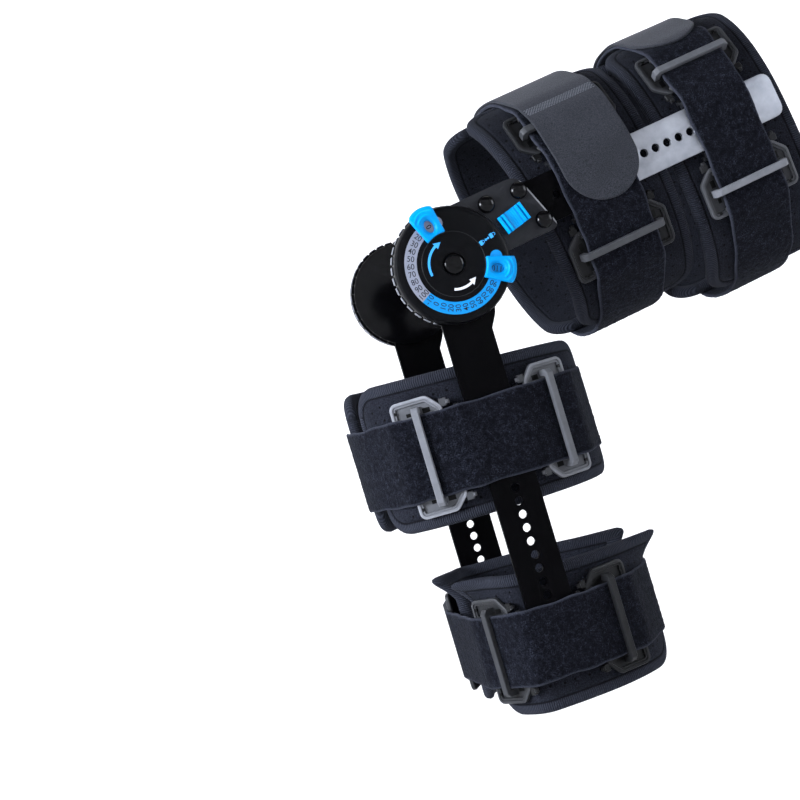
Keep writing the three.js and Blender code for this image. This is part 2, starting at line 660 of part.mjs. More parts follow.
// The notched disc that the hinge turns, with the bar that carries the two calf cuffs
function lowerBarGeometry() {
  const { radius, notchDepth, notchHalfAngle, step, plainHalfAngle } = TOOTH_DISC;
  const half = BAR.width / 2;
  const z = -LOWER_BAR.line;
  const disc = new THREE.Shape();
  const polar = (r, degrees) => [r * Math.cos(radians(degrees)), r * Math.sin(radians(degrees))];
  disc.moveTo(...polar(radius, plainHalfAngle - step));
  for (let middle = plainHalfAngle + step / 2; middle < 360 - plainHalfAngle; middle += step) {
    disc.lineTo(...polar(radius, middle - notchHalfAngle));
    disc.lineTo(...polar(radius - notchDepth, middle));
    disc.lineTo(...polar(radius, middle + notchHalfAngle));
  }
  disc.lineTo(...polar(radius, step - plainHalfAngle));
  disc.closePath();
  const { start, end } = LOWER_BAR;
  const bar = roundedPolygon([
    { x: start, y: z - half, radius: 0 }, { x: end, y: z - half, radius: BAR.endRadius },
    { x: end, y: z + half, radius: BAR.endRadius }, { x: start, y: z + half, radius: 0 },
  ]);
  const shoulder = roundedPolygon([
    { x: SHOULDER.start, y: z - half, radius: 0 },
    { x: SHOULDER.end, y: z - half, radius: 0 },
    { x: SHOULDER.end, y: z + half, radius: 0 },
    { x: SHOULDER.widest, y: z + SHOULDER.half, radius: SHOULDER.radius },
    { x: SHOULDER.start, y: z + SHOULDER.half, radius: 0 },
  ]);
  const whole = join(...[disc, bar, shoulder].map((shape) => plate(shape, BAR.inner, BAR.outer)));
  const axle = peg(0, 0, PIVOT.shaft + GAP, BAR.inner - OVERCUT, BAR.outer + OVERCUT, PIVOT_SIDES);
  return cut(whole, axle, ...barHoles(LOWER_BAR.firstHole, LOWER_BAR.holes, z));
}

// Assembly

function addMesh(group, name, geometry, finish) {
  const mesh = new THREE.Mesh(geometry, new THREE.MeshStandardMaterial(FINISHES[finish]));
  mesh.name = name;
  group.add(mesh);
  return mesh;
}

const brace = new THREE.Group();
const limbs = { thigh: new THREE.Group(), shin: new THREE.Group() };
limbs.thigh.rotation.y = -radians(THIGH_RISE);
limbs.shin.rotation.y = radians(SHIN_DROP);
brace.add(limbs.thigh, limbs.shin);

function sideGroup(limb, side) {
  const group = new THREE.Group();
  group.scale.y = side === 'lateral' ? 1 : -1;
  limbs[limb].add(group);
  return group;
}

for (const side of ['lateral', 'medial']) {
  const thigh = sideGroup('thigh', side);
  const shin = sideGroup('shin', side);
  addMesh(thigh, `${side}_hinge_cover`, coverGeometry(), 'black_plastic');
  addMesh(thigh, `${side}_hinge_back_plate`, backPlateGeometry(), 'glossy_black');
  addMesh(thigh, `${side}_pivot`, pivotGeometry(), 'glossy_black');
  addMesh(thigh, `${side}_upper_bar`, upperBarGeometry(), 'black_metal');
  addMesh(thigh, `${side}_extension_bar`, extensionBarGeometry(), 'bright_metal');
  addMesh(shin, `${side}_lower_bar`, lowerBarGeometry(), 'black_metal');
  for (const cuff of CUFFS) {
    const group = cuff.limb === 'thigh' ? thigh : shin;
    addMesh(group, `${cuff.name}_${side}_pad`, padGeometry(cuff), 'foam_fabric');
    addMesh(group, `${cuff.name}_${side}_carrier`, carrierGeometry(cuff), 'grey_plastic');
    const seats = buckleSeats(cuff);
    ['front', 'rear'].forEach((place, i) => {
      const toCarrier = (place === 'front' ? -1 : 1) * facing(cuff);
      const geometry = buckleGeometry(cuff, toCarrier);
      const mesh = addMesh(group, `${cuff.name}_${side}_${place}_buckle`, geometry, 'grey_plastic');
      seatBuckle(mesh, cuff, seats[i]);
    });
  }
}

const lateralThigh = sideGroup('thigh', 'lateral');
const slider = addMesh(lateralThigh, 'lateral_lock_slider', sliderGeometry(), 'blue_plastic');
slider.position.set(SLIDER.along, 0, SLIDER.forward);
slider.rotation.y = -Math.atan2(SLIDER.forward, SLIDER.along);
for (const { name, angle } of STOPS) {
  const stop = addMesh(lateralThigh, name, stopGeometry(), 'blue_plastic');
  stop.rotation.y = -radians(angle);
}

for (const cuff of CUFFS) addMesh(limbs[cuff.limb], `${cuff.name}_strap`, strapGeometry(cuff), 'loop_fabric');
for (const tab of HOOK_TABS) {
  addMesh(limbs.thigh, `${tab.cuff}_hook_tab`, hookTabGeometry(tab), 'hook_fabric');
}

export default brace;
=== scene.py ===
import math
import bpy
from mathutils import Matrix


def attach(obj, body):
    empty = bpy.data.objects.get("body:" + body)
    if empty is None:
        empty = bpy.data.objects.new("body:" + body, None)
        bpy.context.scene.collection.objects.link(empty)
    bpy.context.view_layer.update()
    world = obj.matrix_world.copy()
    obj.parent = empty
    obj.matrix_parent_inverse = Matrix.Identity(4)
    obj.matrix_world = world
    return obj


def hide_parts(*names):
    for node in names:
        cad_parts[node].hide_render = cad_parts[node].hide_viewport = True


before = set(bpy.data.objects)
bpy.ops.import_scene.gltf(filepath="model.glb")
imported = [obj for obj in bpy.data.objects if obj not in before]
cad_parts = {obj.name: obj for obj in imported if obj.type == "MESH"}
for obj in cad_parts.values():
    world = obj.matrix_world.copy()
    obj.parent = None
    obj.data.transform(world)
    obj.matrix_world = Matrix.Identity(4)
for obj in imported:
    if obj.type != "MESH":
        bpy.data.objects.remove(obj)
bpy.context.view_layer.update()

from types import SimpleNamespace as Row

import bmesh
import bpy
import numpy as np
from mathutils import Vector

MM = 0.001
FULL_TURN = 2 * math.pi

# Camera, lights and floor, in metres, degrees and watts
CAMERA = Row(at=(-0.2302, -1.0480, -0.1405), turn=(93.38, 0.0, -11.52), lens=75.0, sensor=36.0)
WHITE = (1.0, 1.0, 1.0)
COOL = (0.84, 0.9, 1.0)
# Lights: name, place, target, size, power, tint
LIGHTS = (
    ("key", (-2.28, -0.72, 0.05), (0.1, 0, -0.05), (1.0, 0.7), 130, COOL),
    ("side", (1.6, -0.7, 0.7), (0.1, 0, 0), (0.7, 0.9), 16, COOL),
    ("top", (0.3, 0.3, 2.0), (0.1, 0, 0), (1.2, 1.2), 3, WHITE),
    ("backdrop", (0.2, 0.5, 1.9), (0.2, 3.0, 1.0), (1.6, 1.0), 70, WHITE),
)
SKY_STRENGTH = 0.1
FLOOR = Row(level=-0.35, radius=2.2, sweep=0.9, wall_top=3.2, steps=12, sides=96, color=(0.75, 0.75, 0.76),
            glow=0.14)

# Limbs: the thigh rises from the knee towards +X and the shin drops from it, in degrees
THIGH_RISE = 26.0
SHIN_DROP = 73.0
SIDES = {"lateral": 1, "medial": -1}
BODIES = {"thigh": "thigh_frame", "shin": "calf_frame"}

# Cuffs, in millimetres: pad ends, strap middle and width along the limb, section forward of the knee axis;
# the last column is a painted shade that darkens each cuff's pads
HALF_WIDTH = 66.0
SECTION_POWER = 2.4
CUFFS = (
    Row(name="thigh_lower", limb="thigh", pad=(64, 157), strap=(108.5, 49), slant=7, centre=4, front=80,
        rear=80, corner=(20, 20), flare=0, tone=0.6),
    Row(name="thigh_upper", limb="thigh", pad=(161, 250), strap=(202, 44), slant=0, centre=-3, front=88,
        rear=88, corner=(20, 20), flare=0, tone=0.6),
    Row(name="calf_upper", limb="shin", pad=(59, 151), strap=(107, 52), slant=3, centre=-1, front=75,
        rear=75, corner=(20, 20), flare=0, tone=0.8),
    Row(name="calf_lower", limb="shin", pad=(191, 278), strap=(235, 46), slant=3, centre=10, front=26,
        rear=92, corner=(7, 26), flare=19, tone=0.75),
)

# Pads: foam with a rolled, bound edge and a sewn seam inside it
PAD = Row(thick=7.0, angles=(14.0, 164.0), samples=600, fine=0.7, coarse=2.2, edge_step=0.4)
BINDING = 7.2
FLARE = Row(end_reach=30.0, edge_reach=19.0, end_power=1.5, edge_power=1.4)
SEAM = Row(off=0.3, wide=0.7, outer=0.7, inner=0.6)
PAD_RELIEF = Row(crown=0.35, swell=0.3, swell_reach=5.0, ripple=0.25, slant=0.6, period=170, count=5,
                 fade=6.0)

# Straps and hook tabs
STRAP = Row(thick=2.2, step=1.4, soften=2.2, edge_points=6, back_points=9)
STRAP_RELIEF = Row(fluff=0.12, plain_back=0.2, sway=0.35, sway_count=7, twist=0.25, twist_count=11,
                   ragged=0.5, ragged_count=25, ragged_power=7)
TAB = Row(thick=1.8, gap=0.35, fine=0.5, fine_reach=2.5, end_reach=12, end_root=3.4, end_points=22,
          tip_half=0.4)
TAB_SWAY = Row(height=0.3, slant=0.5, period=140, count=4)
HOOK_TABS = (
    Row(cuff="thigh_lower", start=-30, end_forward=-6, width=51, skew=6,
        over="thigh_lower_lateral_front_buckle", band_from_end=74),
    Row(cuff="thigh_upper", start=-30, end_forward=68, width=46, skew=0, over=None, band_from_end=None),
)
STITCH = Row(rows=6, row_gap=1.1, pitch=1.9, margin=2, half_long=0.75, half_thick=0.3, taper=0.9, rise=0.4,
             sides=6)

# Hard pieces kept from the frame: their finish and the width of their rounded edges
ROUND_ANGLE = 35
SMOOTH_ANGLE = 32
FLAT_ANGLE = 1.0
NODE_WELD = 1e-5
# Hinge nodes: part, material, bevel
HINGE_NODES = (
    ("hinge_cover", "cover_black", 0.5),
    ("hinge_back_plate", "glossy_black", 0.3),
    ("pivot", "glossy_black", 0.2),
    ("upper_bar", "bar_black", 0.4),
    ("extension_bar", "bar_bright", 0.4),
    ("lower_bar", "bar_black", 0.4),
)
CARRIER_BEVEL = 0.4

# Buckles: frame, lugs and bridge bar, with heights above the frame's bottom, and tones from 0, black, to 1
# that hold painted light: each buckle lit or shaded as it stands, bright rims and dark holes
BUCKLE = Row(half=16.0, ear=10.5, tuck=6.0, rail=5.0, rail_low=0.1, rail_high=2.9, rail_bevel=0.5)
EAR = Row(shoulder=0.2, peak=0.5, radii=(4.2, 5.5, 4.5), arc=10)
# Rings of an ear, from its foot up: inset, height, and a share of lightness that paints highlights on the
# rims and shade down in the bowl
EAR_RINGS = ((0.7, 0, 1), (0, 0.7, 1), (0, 2.3, 1), (0.25, 2.8, 1.9), (0.7, 3.0, 1.6), (1.9, 3.0, 1.2),
             (2.15, 2.4, 0.9), (3.4, 2.4, 1.1), (3.7, 1.1, 0.7))
EAR_HOLE = Row(radius=1.1, low=0.6, high=2.46, from_end=2.8, past_strap=4.2, sides=16)
EAR_SLOTS = (Row(x=-5.4, half=1.5, tall=2.2), Row(x=6.0, half=2.4, tall=3.0))
SLOT = Row(low=0.6, high=1.16, past_strap=0.2)
LUG = Row(near=1, far=6.0, inside=1, outside=3.5, corner=1, low=0.3, high=2.6, bevel=0.3, tone=0.35)
BARREL = Row(radius=1.4, length=2.6, chamfer=0.3, x=4, height=1.7, past_strap=2, sides=20, tone=0.5)
BRIDGE = Row(half=2.2, base=1.0, low=6.3, high=9.5, overhang=4.8, foot=4.0, slope=2.4, soften=0.5,
             crease=0.4, chamfer=0.4, drop=0.1)
LEVEL = 0.05
# Painted light: each buckle's frame and bridge are made lighter or darker as light falls where it stands.
BUCKLE_TONES_AND_LIGHT = {
    "thigh_lower_front": Row(frame=0.012, bridge=0.05),
    "thigh_lower_rear": Row(frame=0.012, bridge=0.06),
    "thigh_upper_front": Row(frame=0.022, bridge=0.095),
    "thigh_upper_rear": Row(frame=0.045, bridge=0.18),
    "calf_upper_front": Row(frame=0.15, bridge=0.17),
    "calf_upper_rear": Row(frame=0.11, bridge=0.11),
    "calf_lower_front": Row(frame=0.024, bridge=0.036),
    "calf_lower_rear": Row(frame=0.007, bridge=0.011),
}

# Hinge, with heights counted outward from the middle of the leg and angles from the thigh
DIAL = Row(radius=36.0, face=81.0, sunk=0.3, raised=0.05)
# Painted highlight along the plate's far edge: its bearing and distance from the knee axis, and how far
# inside the edge it starts and is full
PLATE_HIGHLIGHT = Row(angle=43.0, distance=67.4, start=1.1, full=0.7)
# Painted glints on the notched disc's tips: radii where they fade in and out, and the span across the front
TEETH_GLINT = Row(inner=(36.3, 36.5), outer=(37.5, 37.2), front=(-8, -10))
DOME = Row(sunk=0.3, over=0.05, steps=12, sides=48)
PIVOT = Row(radius=6.0, base=81.4, top=83.4)
RIVET = Row(radius=5.4, base=77.3, top=81.0)
# Rivets: along, forward
RIVETS = ((35.3, 24.4), (57.5, 23.9), (64.6, 1.3))
STOP = Row(inner=20.0, rim=36.5, tip=39.5, inner_half=6.3, outer_half=8.2, bottom=81.35, top=84.3, lip=78.0,
           lip_past_rim=1.0, least=0.4, window=26.8, window_long=3.9, window_short=2.8, columns=96,
           step=0.25)
STOP_RELIEF = Row(fall=4.2, fall_from=33.5, ribs=(6.9, 9.6), rib=0.6, rib_wide=0.5, rib_span=0.95,
                  rib_fade=0.2, round=0.8, dish=1.2, dish_wide=1.2, rib_tone=0.45, dish_tone=0.25)
STOPS = {"lateral_extension_stop": ("extension_stop", 100), "lateral_flexion_stop": ("flexion_stop", -30)}
STOP_SHARP = 50
SLIDER = Row(along=47.0, forward=9.8, length=17.5, width=12.0, bottom=77.3, top=80.6, fine=0.15, step=0.25,
             wide_step=0.8, end_reach=1.2, side_reach=1.0, round=0.5)
SLIDER_RELIEF = Row(groove=6.4, groove_deep=1.5, groove_wide=0.55, hollow=4.4, hollow_deep=2.0, ripple=0.05,
                    ripple_long=1.5, ripple_from=0.1)
# Painted shade on the slider: plain lightness, and darkening at the hollow's walls and at the grooves
SLIDER_SHADE = Row(plain=1.3, wall=0.85, wall_at=0.8, wall_wide=0.8, groove=0.5, groove_wide=0.5)

# Printing on the dial
SCALE = Row(inner=23.0, outer=30.5, low=80.7, high=81.18, steps=90, end_sides=40, end_drop=0.002)
SCALES = (
    Row(name="grey", start=88, end=205, zero=100, last=100, round_at=88, slot="cover_plastic"),
    Row(name="blue", start=205, end=346, zero=220, last=120, round_at=346, slot="blue_plastic"),
)
DIGIT = Row(size=4.9, condensed=0.96, first=-10, step=10, sunk=0.05, raised=0.03, swell=0.005, fineness=4)
ARROW = Row(radius=15.4, width=1.5, wing=1.5, head=4.2, steps=24, blue=(184, 97), white=(-115, -55))
DOUBLE_ARROW = Row(tip=2.1, neck=0.9, barb=1.1, shaft=0.45, radius=25.8, size=0.85)
PADLOCK = Row(half=1.3, low=-1.4, high=0.5, corner=0.3, bow=0.95, bow_inner=0.6, bow_at=0.8, leg_low=0.4,
              leg_high=0.82, stub_high=0.8, lift=0.35)
OPEN_LOCK = Row(radius=29.6, size=1.15)
CLOSED_LOCK = Row(radius=21.9, size=1.1)
SIGN_ANGLE = 11.8
RING_LINE = Row(radius=19.8, half=0.25, rise=0.2, level=-0.08, steps=7, sides=120)
PRINT_SHARP = 40

# Colours, dark and light where a surface varies, and noise scales per metre
BLACK = (0.0, 0.0, 0.0)
COLORS = Row(
    pile=((0.0016, 0.0018, 0.0032), (0.035, 0.039, 0.056)), pile_edge=(0.04, 0.043, 0.058),
    hook=((0.0095, 0.0102, 0.013), (0.041, 0.0435, 0.054)),
    knit=((0.0036, 0.004, 0.006), (0.028, 0.0304, 0.0425)), knit_hole=(0.0015, 0.0015, 0.002),
    rib=((0.014, 0.0152, 0.021), (0.036, 0.039, 0.053)),
    dial=((0.0009, 0.0010, 0.0015), (0.0016, 0.0018, 0.0026)),
    plate=((0.0125, 0.0128, 0.0148), (0.02, 0.0206, 0.0233)), plate_end=(0.2, 0.205, 0.22),
    bar=((0.0006, 0.00055, 0.0008), (0.0011, 0.001, 0.0014)), teeth=(0.15, 0.155, 0.17),
    buckle=(BLACK, (0.8, 0.82, 0.9)), blue=((0.0, 0.06, 0.26), (0.0, 0.44, 0.98)),
    aluminium=((0.23, 0.24, 0.265), (0.36, 0.37, 0.4)),
)
GRAIN = Row(fleck=1250.0, clump=330.0, pile_patch=55.0, hook=1700.0, hook_patch=45.0, knit=1300.0,
            knit_patch=60.0, moulded=1500.0, wear=90.0, buckle_wear=120.0, cloud=70.0)
# Plain plastics: name, colour, roughness, grain, lightening by wear, specular level
PLASTICS = (
    ("glossy_black", (0.001, 0.001, 0.0013), 0.16, 0.02, 1.35, 0.16),
    ("carrier_black", (0.008, 0.0085, 0.01), 0.4, 0.2, 1.35, 0.2),
    ("thread", (0.1, 0.105, 0.12), 0.8, 0.3, 1.35, 0.05),
    ("scale_grey", (0.22, 0.235, 0.29), 0.45, 0.05, 1.1, 0.05),
    ("scale_blue", (0.008, 0.22, 0.55), 0.4, 0.05, 1.1, 0.05),
    ("ink_black", (0.006, 0.008, 0.012), 0.5, 0.05, 1.35, 0.2),
    ("ink_white", (0.72, 0.74, 0.78), 0.5, 0.05, 1.1, 0.2),
    ("ink_blue", (0.04, 0.34, 0.8), 0.5, 0.05, 1.1, 0.2),
)

MESH_WELD = 1e-7
COLLINEAR = 1e-9
rng = np.random.default_rng(7)


# Limb coordinates

class Limb:
    """Axes of one limb: t along it, n forward, w outward on the lateral side."""

    def __init__(self, angle, sign):
        a = math.radians(angle)
        self.along = np.array([math.cos(a), 0.0, math.sin(a)])
        self.forward = sign * np.array([-math.sin(a), 0.0, math.cos(a)])
        self.outward = np.array([0.0, -1.0, 0.0])

    def place(self, t, n, w):
        """Points in metres from arrays of millimetres."""
        t, n, w = np.broadcast_arrays(t, n, w)
        return MM * (t[..., None] * self.along + n[..., None] * self.forward + w[..., None] * self.outward)

    def read(self, points):
        """Columns t, n and w in millimetres."""
        return np.stack([points @ axis / MM for axis in (self.along, self.forward, self.outward)], axis=-1)


LIMBS = {"thigh": Limb(THIGH_RISE, 1), "shin": Limb(-SHIN_DROP, -1)}


def node_points(node):
    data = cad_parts[node].data
    co = np.zeros(len(data.vertices) * 3)
    data.vertices.foreach_get("co", co)
    return co.reshape(-1, 3)


# Loops in the section of a limb, as rows of (n, w)

def convex_hull(points):
    ordered = sorted({(round(x, 3), round(y, 3)) for x, y in points})

    def chain(row):
        kept = []
        for p in row:
            while len(kept) > 1:
                (ax, ay), (bx, by) = kept[-2], kept[-1]
                if (bx - ax) * (p[1] - ay) - (by - ay) * (p[0] - ax) > COLLINEAR:
                    break
                kept.pop()
            kept.append(p)
        return kept[:-1]

    return np.array(chain(ordered) + chain(ordered[::-1]))


def loop_lengths(loop):
    return np.concatenate([[0], np.cumsum(np.linalg.norm(np.diff(loop, axis=0), axis=1))])


def resampled(loop, step):
    ring = np.vstack([loop, loop[:1]])
    lengths = loop_lengths(ring)
    places = np.linspace(0, lengths[-1], int(lengths[-1] / step), endpoint=False)
    return np.stack([np.interp(places, lengths, ring[:, k]) for k in (0, 1)], axis=1)


def softened(loop, width):
    reach = int(3 * width)
    offsets = np.arange(-reach, reach + 1)
    weights = np.exp(-0.5 * (offsets / width) ** 2)
    weights /= weights.sum()
    return sum(weight * np.roll(loop, shift, axis=0) for weight, shift in zip(weights, offsets))


def loop_normals(loop):
    ahead = np.roll(loop, -1, axis=0) - np.roll(loop, 1, axis=0)
    normal = np.stack([ahead[:, 1], -ahead[:, 0]], axis=1)
    normal /= np.linalg.norm(normal, axis=1)[:, None]
    if np.sum(normal * (loop - loop.mean(axis=0))) < 0:
        normal = -normal
    return normal


def waves(places, period, count, seed):
    """A smooth periodic ripple between about -1 and 1."""
    draw = np.random.default_rng(seed)
    total = np.zeros_like(places, dtype=float)
    for k in range(1, count + 1):
        height = draw.normal() / math.sqrt(count)
        total += height * np.sin(FULL_TURN * k * places / period + draw.uniform(0, 6.3))
    return total


# Meshes

def add_object(name, data):
    thing = bpy.data.objects.new(name, data)
    bpy.context.scene.collection.objects.link(thing)
    return thing


def make_piece(name, verts, faces, material, body, slot, attributes=None):
    mesh = bpy.data.meshes.new(name)
    mesh.from_pydata(np.asarray(verts).tolist(), [], faces if isinstance(faces, list) else faces.tolist())
    for key, values in (attributes or {}).items():
        values = np.asarray(values, dtype=np.float32)
        if values.ndim == 2:
            mesh.attributes.new(key, "FLOAT_VECTOR", "POINT").data.foreach_set("vector", values.ravel())
        else:
            mesh.attributes.new(key, "FLOAT", "POINT").data.foreach_set("value", values)
    work = bmesh.new()
    work.from_mesh(mesh)
    bmesh.ops.remove_doubles(work, verts=work.verts, dist=MESH_WELD)
    bmesh.ops.recalc_face_normals(work, faces=work.faces)
    work.to_mesh(mesh)
    work.free()
    mesh.polygons.foreach_set("use_smooth", [True] * len(mesh.polygons))
    mesh.materials.append(MATERIALS[material])
    piece = add_object(name, mesh)
    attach(piece, body)
    return piece


def grid_faces(rows, cols, wrap_rows=False, wrap_cols=False, start=0):
    i = np.arange(rows if wrap_rows else rows - 1)
    j = np.arange(cols if wrap_cols else cols - 1)
    i, j = (g.ravel() for g in np.meshgrid(i, j, indexing="ij"))
    i2, j2 = (i + 1) % rows, (j + 1) % cols
    return start + np.stack([i * cols + j, i2 * cols + j, i2 * cols + j2, i * cols + j2], axis=1)


def capped_faces(rows, cols):
    """Faces of a tube of rings, with a cap at each end."""
    last = (rows - 1) * cols
    caps = [list(range(cols))[::-1], list(range(last, last + cols))]
    return grid_faces(rows, cols, wrap_cols=True).tolist() + caps


def joined(solids):
    verts, faces, count = [], [], 0
    for solid_verts, solid_faces in solids:
        verts.append(np.asarray(solid_verts, float))
        faces += [[k + count for k in face] for face in solid_faces]
        count += len(solid_verts)
    return np.vstack(verts), faces


def graded(total, fine, coarse, reach):
    """Places from 0 to total, close together near both ends."""
    near = np.arange(0, reach, fine)
    middle = np.linspace(reach, total - reach, max(2, int((total - 2 * reach) / coarse) + 1))
    return np.concatenate([near, middle, total - near[::-1]])


def panel(columns, low, high, shares, distance, surface, outer, inner):
    """A closed sheet between two faces that meet along its edge: vertices, faces and cloth coordinates."""
    u = np.repeat(columns[:, None], len(shares), axis=1)
    t = low[:, None] + shares[None, :] * (high - low)[:, None]
    d = np.maximum(distance(u, t), 0)
    d[0, :] = d[-1, :] = 0
    d[:, 0] = d[:, -1] = 0
    top = surface(u, t, outer(u, t, d)).reshape(-1, 3)
    bottom = surface(u, t, inner(u, t, d)).reshape(-1, 3)
    faces = np.vstack([grid_faces(*u.shape), grid_faces(*u.shape, start=len(top))[:, ::-1]])
    cloth = np.stack([u.ravel(), t.ravel(), d.ravel()], axis=1)
    return np.vstack([top, bottom]), faces, np.vstack([cloth, cloth])


def rolled(d, radius):
    """Height of a rounded edge above its middle line, at a distance from the edge."""
    inside = np.clip(1 - d / radius, 0, 1)
    return radius * np.sqrt(1 - inside ** 2)


def bell(distance, width, power=2):
    """A bump of height 1 that fades with the distance from its middle."""
    return np.exp(-((distance / width) ** power))


# Shader nodes

class Shader:
    """A material whose nodes are added one by one."""

    def __init__(self, name, **constants):
        self.material = bpy.data.materials.new(name)
        self.material.use_nodes = True
        self.tree = self.material.node_tree
        self.surface = self.tree.nodes["Principled BSDF"]
        for key, value in constants.items():
            self.set(key.replace("_", " ").title().replace("Ior", "IOR"), value)

    def set(self, socket, value):
        target = self.surface.inputs[socket]
        if isinstance(value, bpy.types.NodeSocket):
            self.tree.links.new(value, target)
        elif hasattr(value, "__len__") and len(value) == 3 and target.type == "RGBA":
            target.default_value = (*value, 1)
        else:
            target.default_value = value

    def add(self, kind, inputs=(), out=0, **settings):
        node = self.tree.nodes.new("ShaderNode" + kind)
        for key, value in settings.items():
            setattr(node, key, value)
        for key, value in dict(inputs).items():
            if isinstance(value, bpy.types.NodeSocket):
                self.tree.links.new(value, node.inputs[key])
            else:
                node.inputs[key].default_value = value
        return node.outputs[out]

    def math(self, operation, a, b=0.0):
        return self.add("Math", {0: a, 1: b}, operation=operation)

    def times(self, first, *others):
        for other in others:
            first = self.math("MULTIPLY", first, other)
        return first

    def coords(self):
        return self.add("TexCoord", out="Object")

    def attribute(self, name, out="Vector"):
        return self.add("Attribute", out=out, attribute_name=name)

    def part(self, vector, axis):
        return self.add("SeparateXYZ", {0: vector}, out=axis)

    def noise(self, scale, detail=2.0, roughness=0.5):
        links = {"Scale": scale, "Detail": detail, "Roughness": roughness, "Vector": self.coords()}
        return self.add("TexNoise", links)

    def span(self, value, low, high, to_low=0.0, to_high=1.0):
        return self.add("MapRange", {0: value, 1: low, 2: high, 3: to_low, 4: to_high}, clamp=True)

    def mix(self, factor, a, b):
        tint = [(*c, 1) if hasattr(c, "__len__") else c for c in (a, b)]
        return self.add("Mix", {"Factor": factor, 6: tint[0], 7: tint[1]}, out=2, data_type="RGBA")

    def bump(self, height, strength, distance, normal=None):
        links = {"Height": height, "Strength": strength, "Distance": distance}
        if normal is not None:
            links["Normal"] = normal
        return self.add("Bump", links)


# Cloth materials

def strap_material():
    """Loop pile: light flecks in soft clumps, lighter along the edge."""
    s = Shader("loop_pile", roughness=0.95, specular_ior_level=0.05, sheen_weight=0.03, sheen_roughness=0.5,
               sheen_tint=(0.55, 0.6, 0.75))
    fleck = s.noise(GRAIN.fleck, detail=3.0, roughness=0.65)
    clump = s.noise(GRAIN.clump)
    patch = s.noise(GRAIN.pile_patch)
    broad = s.span(patch, 0.25, 0.75, 0.55, 1.0)
    light = s.times(s.span(fleck, 0.44, 0.72), s.span(clump, 0.3, 0.72), broad)
    base = s.mix(light, *COLORS.pile)
    edge = s.part(s.attribute("cloth"), 2)
    s.set("Base Color", s.mix(s.span(edge, 1.8, 0.3, 0.0, 0.6), base, COLORS.pile_edge))
    rough = s.bump(clump, strength=0.7, distance=0.0012)
    s.set("Normal", s.bump(fleck, strength=0.8, distance=0.0007, normal=rough))
    return s.material


def hook_material():
    """A smooth weave with a fine grain."""
    s = Shader("hook_weave", roughness=0.85, specular_ior_level=0.15, sheen_weight=0.08,
               sheen_roughness=0.5, sheen_tint=(0.6, 0.6, 0.65))
    grain = s.noise(GRAIN.hook)
    patch = s.noise(GRAIN.hook_patch, detail=3.0)
    light = s.times(s.span(grain, 0.3, 0.75), s.span(patch, 0.2, 0.8, 0.6, 1.0))
    s.set("Base Color", s.mix(light, *COLORS.hook))
    pattern = {"Vector": s.attribute("cloth"), "Scale": 0.55, "Distortion": 1.5, "Detail": 2.0}
    fine = s.bump(s.add("TexWave", pattern, out=1), strength=0.15, distance=0.0003)
    s.set("Normal", s.bump(grain, strength=0.5, distance=0.0004, normal=fine))
    return s.material


def pad_material():
    """Knit cloth with small holes, a ribbed binding and a seam inside it; the holes, the seam's groove and
    each cuff's whole pad are darkened as painted shade.
    """
    s = Shader("pad_cloth", roughness=0.95, specular_ior_level=0.05, sheen_weight=0.03, sheen_roughness=0.5,
               sheen_tint=(0.55, 0.57, 0.65))
    u, t, edge = (s.part(s.attribute("cloth"), axis) for axis in range(3))
    knit = s.noise(GRAIN.knit)
    patch = s.noise(GRAIN.knit_patch, detail=3.0)
    flat = s.add("CombineXYZ", {0: u, 1: t})
    pattern = {"Vector": flat, "Scale": 0.115, "Randomness": 0.3}
    cells = s.add("TexVoronoi", pattern, voronoi_dimensions="2D")
    hole = s.times(s.span(cells, 0.1, 0.075), s.span(edge, BINDING + 2, BINDING + 3))
    bound = s.span(edge, BINDING + 0.2, BINDING - 0.4)
    rib = s.times(s.math("SINE", s.times(s.attribute("run", "Fac"), 4.6)), bound)
    seam = s.times(s.span(edge, BINDING - 0.9, BINDING), s.span(edge, BINDING + 1.1, BINDING + 0.2))
    light = s.times(s.span(knit, 0.3, 0.72), s.span(patch, 0.25, 0.75, 0.5, 1.0))
    base = s.mix(bound, s.mix(light, *COLORS.knit), s.mix(s.span(rib, -1.0, 1.0), *COLORS.rib))
    # Painted shade: each cuff's pads are darkened as a whole by their cuff's factor.
    base = s.mix(s.attribute("tone", "Fac"), BLACK, base)
    # Painted shade: the holes and the seam's groove are darkened towards the hole colour.
    dark = s.math("MAXIMUM", hole, s.times(seam, 0.85))
    s.set("Base Color", s.mix(dark, base, COLORS.knit_hole))
    rough = s.bump(s.math("SUBTRACT", s.times(rib, 0.35), hole), strength=0.8, distance=0.0008)
    s.set("Normal", s.bump(knit, strength=0.5, distance=0.0004, normal=rough))
    return s.material


# Hard materials

def moulded(name, specular, rough, grain, scale=GRAIN.wear):
    """A shader with a fine grain and uneven gloss, and its wear as a socket."""
    s = Shader(name, ior=1.5, specular_ior_level=specular)
    wear = s.noise(scale, detail=4.0, roughness=0.6)
    s.set("Roughness", s.span(wear, 0.25, 0.8, *rough))
    s.set("Normal", s.bump(s.noise(GRAIN.moulded), strength=grain, distance=0.0002))
    return s, wear


def worn(s, wear, low=0.0, high=1.0):
    return s.span(wear, 0.3, 0.75, low, high)


def plastic_material(name, color, rough, grain, light, specular):
    s, wear = moulded(name, specular, (rough * 0.85, min(1.0, rough * 1.2)), grain)
    s.set("Base Color", s.mix(worn(s, wear), color, tuple(min(1.0, c * light) for c in color)))
    return s.material


def radius_from_knee(s):
    """The distance in millimetres from the knee axis, as a socket."""
    x, z = (s.part(s.coords(), axis) for axis in (0, 2))
    square = s.math("ADD", s.times(x, x), s.times(z, z))
    return s.times(s.math("SQRT", square), 1 / MM)


